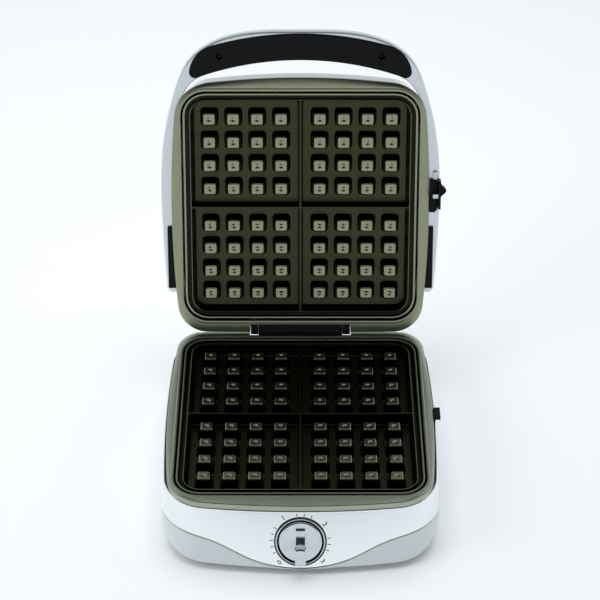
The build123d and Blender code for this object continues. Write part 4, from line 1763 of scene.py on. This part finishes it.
    def _drill(self, radius: float, place: Matrix, depth: float) -> bpy.types.Object:
        """A cylinder to cut with, from a place outwards.

        Args:
            radius: the radius, in millimetres.
            place: the matrix from the local frame to the object's frame.
            depth: the depth, in the space that it is used in.

        Returns:
            The cutter.
        """
        draft = Draft()
        draft.lathe([(0, -depth), (radius, -depth), (radius, depth), (0, depth)], 96)
        return draft.done("drill", place)

    def build(self) -> tuple[bpy.types.Object, bpy.types.Object]:
        """Makes both shells.

        Returns:
            The upper shell and the lower shell.
        """
        seam = self._seam_loop()
        upper = self._shell("upper_shell_polished", np.full_like(seam, self.top), seam, 1.6, 0.35, 5.0)
        carve(upper, self._drill(self.dial_hole, self.dial, 14.0))
        carve_prism(upper, self.place, box_loop((-45.5, 125.0), (45.5, 150.0), (0.5,) * 4, 2), -14.0, 0.0)
        lower = self._shell("lower_shell_silver", seam - self.gap, np.full_like(seam, self.floor), 0.9, 3.2, 0.0)
        x, z, radius = self.gland
        facing_back = Matrix.Translation((x, 138.0, z)) @ Matrix.Rotation(-math.pi / 2, 4, "X")
        carve(lower, self._drill(radius, self.place @ facing_back, 20.0))
        return upper, lower

    def dress(self, upper: bpy.types.Object, lower: bpy.types.Object) -> None:
        """Publishes both shells, their inner faces painted near-black as painted shade.

        Args:
            upper: the upper shell.
            lower: the lower shell.
        """
        publish(settle(upper, 32.0), Body.BASE, [FINISH.polished, FINISH.inside_painted_shade], ["upper_shell"])
        publish(settle(lower, 32.0), Body.BASE, [FINISH.shell, FINISH.inside_painted_shade], ["lower_shell"])

    def panel_y(self, x: np.ndarray, z: np.ndarray) -> np.ndarray:
        """How far forward the front wall stands at x and z.

        Args:
            x: distance to the right.
            z: the height of each point.

        Returns:
            The y of each point.
        """
        front = slice(0, self.per_side + 1)
        levels = self._loops[:, front]
        rows = np.array([[np.interp(px, level[:, 0], level[:, 1]) for level in levels] for px in x])
        return np.array([np.interp(-pz, -self._heights, row) for pz, row in zip(z, rows)])


# ---------------------------------------------------------------- lid


@dataclass
class LidCover:
    """The polished cap over the back of the upper plate."""

    place: Matrix
    rim: float = 7.9
    top: float = 56.0
    round: float = 22.0
    wall: float = 1.0
    inset: float = 1.5
    crown: float = 1.3
    notch_half: float = 54.0
    notch_rise: float = 14.0

    def _dome(self, sheet: float) -> list[np.ndarray]:
        """The cap's loops from its rim to its middle, smaller all over by a thickness.

        Args:
            sheet: the thickness taken off.

        Returns:
            The loops.
        """
        outline = FRAME.inset(self.inset + sheet)
        radius = self.round - sheet
        top = self.top - self.crown - sheet
        loops = [lift(outline.loop(24, 16), z) for z in np.linspace(self.rim, top - radius, 6)]
        for angle in np.linspace(0, math.pi / 2, 14)[1:]:
            drawn = outline.inset(radius * (1 - math.cos(angle)))
            loops.append(lift(drawn.loop(24, 16), top - radius + radius * math.sin(angle)))
        edge = outline.inset(radius).loop(24, 16)
        for share in (0.94, 0.84, 0.7, 0.5, 0.3, 0.12):
            loops.append(lift(edge * share, top + self.crown * (1 - share**2)))
        return loops

    def build(self) -> bpy.types.Object:
        """Makes the cap with its wall and the notch for the hinge strip.

        Returns:
            The new piece.
        """
        draft = Draft()
        rows = [draft.loft(self._dome(sheet)) for sheet in (0.0, self.wall)]
        for loops in rows:
            draft.face(loops[-1])
        draft.skin(rows[0][0], rows[1][0])
        cap = draft.done("lid_cover_polished", self.place)
        plan = box_loop((-self.notch_half, 120.0), (self.notch_half, 150.0), (1.5,) * 4, 4)
        carve_prism(cap, self.place, plan, self.rim - 4, self.rim + self.notch_rise)
        return cap

    def dress(self, cap: bpy.types.Object) -> None:
        """Publishes the cap.

        Args:
            cap: the finished cap.
        """
        publish(settle(cap, 32.0), Body.LID, [FINISH.polished], ["lid_cover"])


@dataclass
class Handle:
    """The silver bow round the lid with its dark grip, the grip's screws and the two arm pads."""

    place: Matrix
    under: float = 8.0
    over: float = 31.0
    grip_over: float = 24.0
    grip_under: float = 7.0
    stations: int = 72
    sink_depth: float = 5.0
    sink_radius: float = 3.4
    outer: Path2 = ((0, -187.1), (94.8, -173.2), (115.6, -156.8), (129.8, -127.5), (143.5, -71.0), (147.2, 5.0),
                    (143.4, 88.0))
    gap_edge: Path2 = ((0, -156.5), (60, -151.2), (96, -142.2), (112.5, -133.4), (123.2, -117.6), (129.3, -96.0),
                       (133.6, -58.0), (135.3, 0.0), (133.9, 52.0), (131.6, 90.0))

    @staticmethod
    def _mirrored(side: Path2) -> list[tuple[float, float]]:
        """A line from the left arm round the front to the right arm.

        Args:
            side: the right half of the line, from the front's middle.

        Returns:
            The whole line.
        """
        return [(-x, y) for x, y in reversed(side[1:])] + list(side)

    def _matched(self, side: Path2, knee: float) -> np.ndarray:
        """One edge of the bow, resampled so that the same share lies before the knee on both edges.

        Args:
            side: the right half of the edge, from the front's middle.
            knee: the x of the point where the front turns into the arm.

        Returns:
            An array of points along the whole edge.
        """
        dense = smooth_path(self._mirrored(side), 2001)[1000:]
        turn = int(np.argmin(np.abs(dense[:, 0] - knee) + 0.2 * np.clip(dense[:, 1] + 125, 0, None)))
        length = np.concatenate([[0.0], np.cumsum(np.linalg.norm(np.diff(dense, axis=0), axis=1))])
        before = np.linspace(0, length[turn], self.stations)
        after = np.linspace(length[turn], length[-1], self.stations)[1:]
        wanted = np.concatenate([before, after])
        half = np.stack([np.interp(wanted, length, dense[:, k]) for k in (0, 1)], 1)
        return np.concatenate([half[:0:-1] * np.array([-1, 1]), half])

    def _section(
        self, inner: np.ndarray, outer: np.ndarray, low: float, high: float, radii: Sequence[float]
    ) -> np.ndarray:
        """A rounded section that stands between an inner and an outer point.

        Args:
            inner: the inner point.
            outer: the outer point.
            low: the lower height.
            high: the upper height.
            radii: the rounding at each corner.

        Returns:
            The section's points.
        """
        span = outer - inner
        width = float(np.linalg.norm(span))
        flat = box_loop((0, low), (width, high), [min(r, width * 0.48) for r in radii], 6)
        spots = inner + np.outer(flat[:, 0] / width, span)
        return np.column_stack([spots, flat[:, 1]])

    def _bow(self) -> bpy.types.Object:
        """The silver bow, its arms rounded off at their ends.

        Returns:
            The bow, uncut.
        """
        outer, inner = self._matched(self.outer, 118.0), self._matched(self.gap_edge, 112.0)
        radii = (1.2, 2.6, 14.0, 3.0)
        sections = [self._section(a, b, self.under, self.over, radii) for a, b in zip(inner, outer)]
        for end, order in ((0, -1), (-1, 1)):
            a, b = inner[end], outer[end]
            middle, reach = (a + b) / 2, np.linalg.norm(b - a) / 2
            caps = []
            for angle in np.radians([18, 36, 52, 66, 78, 86]):
                shift = np.array([0, 1.2 * reach * math.sin(angle)])
                slim = math.cos(angle)
                low = self.under + 2.0 * (1 - slim)
                high = self.over - 4.0 * (1 - slim)
                caps.append(self._section(middle + (a - middle) * slim + shift, middle + (b - middle) * slim + shift,
                                          low, high, [r * slim for r in radii]))
            sections = sections + caps if order > 0 else list(reversed(caps)) + sections
        draft = Draft()
        draft.loft(sections, caps=True)
        return draft.done("handle_bow_silver", self.place)

    @staticmethod
    def grip_outline() -> np.ndarray:
        """The grip's outline, from the left end along the outer edge and back along the gap.

        Returns:
            The outline's points.
        """
        arcs = [
            three_point_arc((-94.0, -171.2), (0, -184.6), (94.0, -171.2), 60),
            three_point_arc((94.0, -171.2), (108.2, -161.2), (115.2, -146.0), 14),
            three_point_arc((115.2, -146.0), (114.0, -140.0), (108.6, -137.6), 8),
            three_point_arc((108.6, -137.6), (0, -156.5), (-108.6, -137.6), 60),
            three_point_arc((-108.6, -137.6), (-114.0, -140.0), (-115.2, -146.0), 8),
            three_point_arc((-115.2, -146.0), (-108.2, -161.2), (-94.0, -171.2), 14),
        ]
        return np.concatenate([arc[:-1] for arc in arcs])

    def build(self, planted: Recipe) -> None:
        """Makes the bow, the grip, its screws and the arm pads, and publishes them.

        Args:
            planted: the tree that sets one part at several points.
        """
        bow = self._bow()
        carve_prism(bow, self.place, self.grip_outline(), self.under - 6.0, self.grip_over)
        publish(settle(bow, 34.0), Body.LID, [FINISH.handle], ["handle_bow"])
        draft = Draft()
        draft.prism(self.grip_outline(), self.grip_under, self.grip_over - 0.05)
        grip = soften(draft.done("handle_grip_black", self.place), 1.8, 4, 50.0)
        spots = [(x, -160.5, self.grip_under + self.sink_depth) for x in (-84.0, 84.0)]
        for x, y, end in spots:
            sink = Draft()
            sink.lathe([(0, -20), (self.sink_radius, -20), (self.sink_radius, end), (0, end)], 32, (x, y))
            carve(grip, sink.done("sink", self.place))
        publish(settle(grip, 34.0), Body.LID, [FINISH.black], ["handle_grip"])
        screw = screw_head("grip_screw", 3.0, 1.5, 12.0)
        plant(planted, "grip_screws_zinc", screw, spots, self.place, Body.LID, FINISH.blackened, "grip_screws")
        refine("arm_pads_black", "arm_pads", Body.LID, FINISH.black, 0.5, 2)


# ---------------------------------------------------------------- small parts


def points_mesh(points: Sequence[Sequence[float]]) -> bpy.types.Mesh:
    """A mesh of loose points for a tree to start from.

    Args:
        points: where the points are.

    Returns:
        The mesh.
    """
    mesh = bpy.data.meshes.new("seeds")
    mesh.from_pydata([tuple(point) for point in points], [], [])
    return mesh


def screw_head(name: str, radius: float, rise: float, shank: float) -> bpy.types.Object:
    """A pan-head screw with a cross recess, its head facing -z and its shank along +z.

    Args:
        name: the object's name.
        radius: the head's radius.
        rise: the head's height.
        shank: the shank's length.

    Returns:
        The screw, in millimetres.
    """
    draft = Draft()
    pin = radius * 0.52
    draft.lathe(
        [(0, -rise), (radius * 0.55, -rise * 0.97), (radius * 0.85, -rise * 0.75), (radius, -rise * 0.3),
         (radius, 0), (pin, 0), (pin, shank - 0.8), (pin - 0.6, shank), (0, shank)],
        28,
    )
    head = draft.done(name, Matrix.Identity(4))
    for turn in (0.0, math.pi / 2):
        slot = box_loop((-radius * 0.55, -radius * 0.13), (radius * 0.55, radius * 0.13), (0.05,) * 4, 2)
        carve_prism(head, Matrix.Rotation(turn, 4, "Z"), slot, -rise - 0.5, -rise * 0.25)
    return head


@dataclass
class Dial:
    """The control: its lined cup, the knob with its ramped bar, and the printed scale."""

    place: Matrix
    housing: Housing
    radius: float = 21.4
    face: float = 2.2
    bar_half: float = 5.3
    scale_radius: float = 28.2
    digit_radius: float = 29.9
    digit_height: float = 5.0
    marks: tuple[tuple[float, float, int], ...] = ((-115.0, 13.8, 5), (-7.0, 14.6, 3), (82.5, 13.4, 3))
    digits: tuple[tuple[str, float, float], ...] = (("0", -137.0, 43.0), ("1", -33.5, 33.5), ("2", 52.6, -52.6),
                                                    ("3", 133.0, -47.0))
    bar: Path2 = ((15.9, 0.6), (15.3, 1.9), (14.0, 3.2), (12.6, 3.75), (9.5, 3.95), (6.4, 4.35), (3.2, 5.4),
                  (0.5, 7.2), (-1.6, 9.5), (-3.0, 11.5), (-4.1, 12.25), (-6.4, 12.45), (-12.0, 12.45),
                  (-18.6, 12.35), (-20.6, 11.8), (-21.35, 10.2), (-21.4, 6.0), (-21.4, 1.0))

    def _cup(self) -> None:
        """The cup: a black line round a bright ring, and a dark well that the knob turns in."""
        profile = [
            (0, -9.0), (24.6, -9.0), (24.9, -8.7), (24.9, 0.9), (25.7, 1.0), (25.75, 1.25), (25.5, 1.45),
            (24.5, 1.5), (24.35, 1.35), (24.2, 1.5), (23.9, 1.75), (23.3, 1.75), (22.95, 1.5), (22.8, 1.0),
            (22.8, -6.6), (22.4, -7.0), (5.2, -7.0), (5.2, -8.6), (0, -8.6),
        ]
        bright = {(24.2, 1.5), (23.9, 1.75), (23.3, 1.75), (22.95, 1.5)}
        paints = [1 if spot in bright else 0 for spot in profile[:-1]]
        draft = Draft()
        draft.lathe(profile, 96, paints=paints)
        cup = draft.done("dial_ring_lined", self.place)
        publish(settle(cup, 30.0), Body.BASE, [FINISH.gloss_black, FINISH.knob], ["dial_ring"])

    def _knob(self) -> None:
        """The knob: a rounded disc with a bar that ramps up to a broad nose."""
        r, face = self.radius, self.face
        draft = Draft()
        draft.lathe(
            [(0, -5.4), (r - 1.0, -5.4), (r, -4.8), (r, face - 1.9), (r - 0.25, face - 0.95), (r - 0.9, face - 0.3),
             (r - 1.8, face), (r - 3.4, face - 0.02), (r - 6.5, face - 0.3), (r - 11.0, face - 0.62),
             (0, face - 0.8)],
            96,
        )
        line = smooth_path(self.bar, 90)
        sections = []
        for y, h in line:
            reach = self.bar_half * min(1.0, math.sqrt(max(1 - max(0.0, (-y - 19.2) / 5.2) ** 2, 0.02)))
            across = np.linspace(-1, 1, 13)
            near_edge = np.clip((np.abs(across) * reach - (reach - 0.9)) / 0.9, 0, 1)
            rounding = 0.9 * (1 - np.sqrt(np.clip(1 - near_edge**2, 0, 1)))
            lag = 1.5 * across**2 if -8.0 < y < 4.0 else 0 * across
            fade = math.sin(math.pi * min(1.0, max(0.0, (4.0 - y) / 12.0))) if -8.0 < y < 4.0 else 0.0
            top = np.stack([across * reach, y - lag * fade, h - rounding], 1)
            foot = np.array([[reach, y, -0.5], [-reach, y, -0.5]])
            sections.append(np.concatenate([top, foot]))
        draft.loft(sections, caps=True)
        knob = draft.done("control_knob_satin", self.place)
        publish(settle(knob, 36.0), Body.KNOB, [FINISH.knob], ["control_knob"])

    def _lay(self, piece: bpy.types.Object, proud: float) -> None:
        """Bends a flat print, drawn in the dial's own plane, on to the curved panel.

        Args:
            piece: the print, in millimetres.
            proud: how far its lowest points stand off the panel.
        """
        to_grid = self.housing.place.inverted() @ self.place
        spots = np.array([to_grid @ Vector((v.co.x, v.co.y, 0)) for v in piece.data.vertices])
        out = np.array((self.place.to_3x3() @ Vector((0, 0, 1))).normalized())
        ground = self.housing.panel_y(spots[:, 0], spots[:, 2])
        for vertex, spot, y in zip(piece.data.vertices, spots, ground):
            spot = np.array([spot[0], y, spot[2]]) + out * (proud + max(0.0, vertex.co.z))
            vertex.co = self.housing.place @ Vector(spot)

    def _scale(self, marks_recipe: Recipe) -> None:
        """The printed marks and digits of the scale.

        Args:
            marks_recipe: the tree that fans marks along an arc.
        """
        prints = []
        for first, step, count in self.marks:
            values = {
                "Radius": self.scale_radius,
                "Length": 3.1,
                "Width": 0.8,
                "Thickness": 0.12,
                "First angle": math.radians(first),
                "Step": math.radians(step),
                "Count": count,
                "Material": FINISH.ink.material(),
            }
            prints.append(marks_recipe.grow(f"scale_marks_{count}_{int(first)}".replace("-", "m"), values))
        for text, angle, turn in self.digits:
            prints.append(self._digit(text, math.radians(angle), math.radians(turn)))
        bm = bmesh.new()
        for piece in prints:
            bm.from_mesh(piece.data)
            bpy.data.objects.remove(piece)
        mesh = bpy.data.meshes.new("dial_scale")
        bm.to_mesh(mesh)
        bm.free()
        scale = shown("dial_scale", mesh)
        self._lay(scale, 0.01)
        scale.data.shade_flat()
        publish(scale, Body.BASE, [FINISH.ink])

    def _digit(self, text: str, angle: float, turn: float) -> bpy.types.Object:
        """One digit of the scale as thin mesh, in the dial's plane.

        Args:
            text: the digit.
            angle: where it stands on the scale, in radians from the top.
            turn: how far the digit is turned, in radians.

        Returns:
            The digit.
        """
        curve = bpy.data.curves.new("digit", "FONT")
        curve.body = text
        curve.size = self.digit_height * 1.35
        curve.align_x = "CENTER"
        curve.align_y = "CENTER"
        curve.extrude = 0.06
        curve.offset = 0.12
        holder = bpy.data.objects.new("digit", curve)
        bpy.context.scene.collection.objects.link(holder)
        graph = bpy.context.evaluated_depsgraph_get()
        mesh = bpy.data.meshes.new_from_object(holder.evaluated_get(graph), depsgraph=graph)
        bpy.data.objects.remove(holder)
        spot = Vector((math.sin(angle), math.cos(angle), 0)) * self.digit_radius
        mesh.transform(Matrix.Translation(spot) @ Matrix.Rotation(turn, 4, "Z"))
        return shown(f"digit_{text}", mesh)

    def build(self, marks_recipe: Recipe) -> None:
        """Makes the cup, the knob and the scale.

        Args:
            marks_recipe: the tree that fans marks along an arc.
        """
        self._cup()
        self._knob()
        self._scale(marks_recipe)


@dataclass
class Underside:
    """The bottom cover, its screws and the rubber feet."""

    place: Matrix
    floor: float = -66.0
    foot_radius: float = 9.5
    foot_spots: Path2 = ((-98, -112), (98, -112), (-92, 117), (92, 117))
    screw_spots: Path2 = ((-112, -78), (112, -78), (-112, 78), (112, 78))

    def build(self, planted: Recipe) -> None:
        """Makes the parts under the base and publishes them.

        Args:
            planted: the tree that sets one part at several points.
        """
        refine("bottom_cover_black", "bottom_cover", Body.BASE, FINISH.black, 0.5, 2)
        r, drop = self.foot_radius, self.floor - BENCH_Z
        draft = Draft()
        draft.lathe(
            [(0, 0), (r, 0), (r, -0.8), (r - 0.3, -drop + 1.2), (r - 0.7, -drop + 0.3), (r - 1.5, -drop),
             (r - 3.2, -drop), (r - 3.6, -drop + 0.5), (r - 4.6, -drop + 0.5), (r - 5.0, -drop), (0, -drop)],
            40,
        )
        foot = draft.done("foot", Matrix.Identity(4))
        screw = screw_head("bottom_screw", 3.6, 1.8, 12.0)
        for name, part, spots, finish, node in (
            ("feet_rubber", foot, self.foot_spots, FINISH.rubber, "feet"),
            ("bottom_screws_zinc", screw, self.screw_spots, FINISH.zinc, "bottom_screws"),
        ):
            set_down = [(x, y, self.floor) for x, y in spots]
            plant(planted, name, part, set_down, self.place, Body.BASE, finish, node)


@dataclass
class Hinge:
    """The fixed barrel, and the strip with its two knuckles on the lid."""

    lid: Matrix
    strip_low: float = 8.1
    barrel_end: float = 44.0
    collar: float = 0.14
    screw_spots: Path3 = ((-62.0, 129.3, 10.6), (62.0, 129.3, 10.6))

    def build(self, planted: Recipe) -> None:
        """Makes the hinge's visible parts and publishes them.

        Args:
            planted: the tree that sets one part at several points.
        """
        barrel = soften(from_cad("hinge_barrel_black", "hinge_barrel"), 0.4, 2)
        for corner in barrel.data.vertices:
            if abs(corner.co.x) > self.barrel_end * MM:
                corner.co.x += math.copysign(self.collar * MM, corner.co.x)
        publish(settle(barrel, 30.0), Body.BASE, [FINISH.black], ["hinge_barrel"])
        bracket = soften(from_cad("hinge_strip_black", "lid_hinge_bracket"), 0.35, 2)
        # Painted highlight: the strip's faces from its lower face up, within the barrel's span, take the light bronze
        # frame metal, standing in for the light caught along the strip's edge.
        into_lid = self.lid.inverted()
        for face in bracket.data.polygons:
            spot = into_lid @ face.center
            face.material_index = 1 if spot.z > self.strip_low - 0.6 and abs(spot.x) < 45.2 else 0
        publish(settle(bracket, 30.0), Body.LID, [FINISH.black, FINISH.frame_metal], ["lid_hinge_bracket"])
        screw = screw_head("strip_screw", 2.6, 1.8, 6.0)
        screw.data.transform(Matrix.Rotation(math.pi, 4, "X"))
        plant(planted, "lid_screws_zinc", screw, self.screw_spots, self.lid, Body.LID, FINISH.zinc, "lid_screws")


@dataclass
class Latch:
    """The side latch: block, spring plate, sliding thumb piece, its steel toe, and the catch on the base."""

    def build(self) -> None:
        """Makes the latch's parts and publishes them."""
        for name, node, body, finish, radius in (
            ("latch_block_black", "latch_housing", Body.LID, FINISH.black, 0.5),
            ("latch_spring_plate", "latch_detent", Body.LID, FINISH.zinc, 0.3),
            ("latch_thumb_black", "latch_slider", Body.LATCH, FINISH.black, 0.5),
            ("latch_toe_steel", "latch_hook", Body.LATCH, FINISH.zinc, 0.3),
            ("latch_catch_black", "latch_catch", Body.BASE, FINISH.black, 0.45),
        ):
            refine(name, node, body, finish, radius, 3)


@dataclass
class Gland:
    """The grommet in the rear wall."""

    def build(self) -> None:
        """Makes the grommet and publishes it."""
        refine("cord_gland_black", "cord_gland", Body.BASE, FINISH.black, 0.5, 3)


INNER_FINISHES: dict[str, Finish] = {
    "lower_element": FINISH.zinc,
    "upper_element": FINISH.zinc,
    "lower_reflector": FINISH.tray,
    "upper_reflector": FINISH.tray,
    "lower_plate_screws": FINISH.zinc,
    "upper_plate_screws": FINISH.zinc,
    "lower_thermal_fuse": FINISH.ceramic,
    "upper_thermal_fuse": FINISH.ceramic,
    "thermostat": FINISH.black,
    "thermostat_probe": FINISH.bronze,
    "terminal_block": FINISH.ceramic,
    "hinge_pin": FINISH.zinc,
    "hinge_bushes": FINISH.bronze,
    "knob_shaft": FINISH.zinc,
    "knob_clip": FINISH.zinc,
}


def dress_inner_parts() -> None:
    """Gives the inner parts that keep their CAD shape a real finish."""
    for node, finish in INNER_FINISHES.items():
        mesh = frame["nodes"][node].data
        mesh.materials.clear()
        mesh.materials.append(finish.material())
        LOG.info("%s keeps its shape, dressed in %s", node, finish.name)


# ---------------------------------------------------------------- studio


@dataclass
class Studio:
    """A plain pale floor, a soft bright room with a dark gap over the camera, soft lights and the camera."""

    place: Matrix
    camera_spot: Rgb = (-0.4, -1520.0, 1266.0)
    camera_pitch: float = 53.56
    lens: float = 115.8
    floor_half: float = 9.0
    lamps: tuple[tuple[str, Rgb, Rgb, float, float], ...] = (
        ("overhead_softbox", (0.0, 0.5, 2.2), (0.0, 0.0, 0.1), 1.6, 26.0),
        ("left_softbox", (-1.6, -0.6, 1.5), (0.0, 0.0, 0.15), 1.0, 9.0),
    )

    def _room(self) -> None:
        """The surroundings: bright round the horizon, grey higher up behind, and dark high up in front."""
        world = bpy.data.worlds.new("studio_room")
        bpy.context.scene.world = world
        world.use_nodes = True
        desk = Desk(world.node_tree)
        way = desk.node("ShaderNodeTexCoord").outputs["Generated"]
        parts = desk.node("ShaderNodeSeparateXYZ", links={0: way})
        ahead, high = Wire(desk, parts.outputs["Y"]), Wire(desk, parts.outputs["Z"])
        rising = desk.number("ShaderNodeMapRange", {"interpolation_type": "SMOOTHSTEP"},
                             {"Value": high, "From Min": 0.22, "From Max": 0.42})
        in_front = desk.number("ShaderNodeMapRange", {"interpolation_type": "SMOOTHSTEP"},
                               {"Value": ahead, "From Min": 0.25, "From Max": -0.25})
        behind = desk.number("ShaderNodeMapRange", {"interpolation_type": "SMOOTHSTEP"},
                             {"Value": ahead, "From Min": 0.10, "From Max": 0.35})
        raised = desk.number("ShaderNodeMapRange", {"interpolation_type": "SMOOTHSTEP"},
                             {"Value": high, "From Min": 0.40, "From Max": 0.60})
        pale = desk.blend(raised * behind, (0.90, 0.95, 0.98), (0.40, 0.43, 0.44))
        colour = desk.blend(rising * in_front, pale, (0.035, 0.04, 0.045))
        back = desk.node("ShaderNodeBackground", links={"Color": colour, "Strength": 1.0})
        desk.node("ShaderNodeOutputWorld", links={"Surface": back.outputs[0]})

    def _lamp(self, name: str, spot: Rgb, aim: Rgb, size: float, power: float) -> None:
        """A square soft light.

        Args:
            name: the lamp's name.
            spot: where it hangs, in metres.
            aim: what it points at, in metres.
            size: the length of its side, in metres.
            power: its power in watts.
        """
        light = bpy.data.lights.new(name, "AREA")
        light.shape = "SQUARE"
        light.size = size
        light.energy = power
        lamp = bpy.data.objects.new(name, light)
        lamp.visible_glossy = False
        lamp.location = spot
        lamp.rotation_euler = (Vector(aim) - Vector(spot)).to_track_quat("-Z", "Y").to_euler()
        bpy.context.scene.collection.objects.link(lamp)

    def _floor(self) -> None:
        """A wide pale floor."""
        draft = Draft()
        half = self.floor_half
        draft.face(draft.row(np.array([(-half, -half, 0), (half, -half, 0), (half, half, 0), (-half, half, 0)])))
        floor = draft.done("studio_floor", Matrix.Identity(4))
        made = bpy.data.materials.new("pale_floor")
        made.use_nodes = True
        desk = Desk(made.node_tree)
        glow = {"Emission Color": (0.95, 0.98, 1.0, 1.0), "Emission Strength": 0.16}
        desk.surface((0.86, 0.88, 0.89), 0.9, None, {"Specular IOR Level": 0.0, **glow})
        floor.data.materials.append(made)

    def _camera(self) -> None:
        """The camera, in front of the object and above it."""
        data = bpy.data.cameras.new("camera")
        data.lens = self.lens
        data.sensor_width = 36.0
        data.clip_end = 100.0
        camera = bpy.data.objects.new("camera", data)
        camera.location = self.place @ Vector(self.camera_spot)
        camera.rotation_euler = (math.radians(self.camera_pitch), 0.0, 0.0)
        bpy.context.scene.collection.objects.link(camera)
        bpy.context.scene.camera = camera

    def build(self) -> None:
        """Sets up the room, the floor, the lights and the camera."""
        bpy.context.scene.view_settings.view_transform = "Standard"
        self._room()
        self._floor()
        for lamp in self.lamps:
            self._lamp(*lamp)
        self._camera()


def main() -> None:
    """Builds the waffle maker and the studio in order."""
    logging.basicConfig(level=logging.INFO, format="%(name)s: %(message)s")
    places = Places.read()
    Studio(places.base).build()
    pegs, planted, marks = peg_field_recipe(), planted_recipe(), scale_marks_recipe()
    for plate in (
        WafflePlate("lower_plate_bronze", "lower_plate", Body.BASE, places.base),
        WafflePlate("upper_plate_bronze", "upper_plate", Body.LID, places.upper_grid),
    ):
        plate.dress(plate.build(pegs))
    step, gap = Cut((-109.0, 131.5), (109.0, 160.0), -1.8), Cut((-54.5, 130.3), (54.5, 160.0), -20.0)
    notch = Cut((-54.0, 130.3), (54.0, 160.0), -10.0, 1.6, 4)
    for ring in (
        FrameRing("base_bezel_satin", "base_bezel", Body.BASE, places.base, 1.0, 1.0, 8.4, True, (step, gap)),
        FrameRing("lid_bezel_satin", "lid_bezel", Body.LID, places.lid, 2.0, -1.0, 5.8, False, (notch,)),
    ):
        ring.dress(ring.build())
    housing = Housing(places.base, places.dial)
    housing.dress(*housing.build())
    cover = LidCover(places.lid)
    cover.dress(cover.build())
    Handle(places.lid).build(planted)
    Dial(places.dial, housing).build(marks)
    Underside(places.base).build(planted)
    Hinge(places.lid).build(planted)
    Latch().build()
    Gland().build()
    dress_inner_parts()


if __name__ == "__main__":
    main()
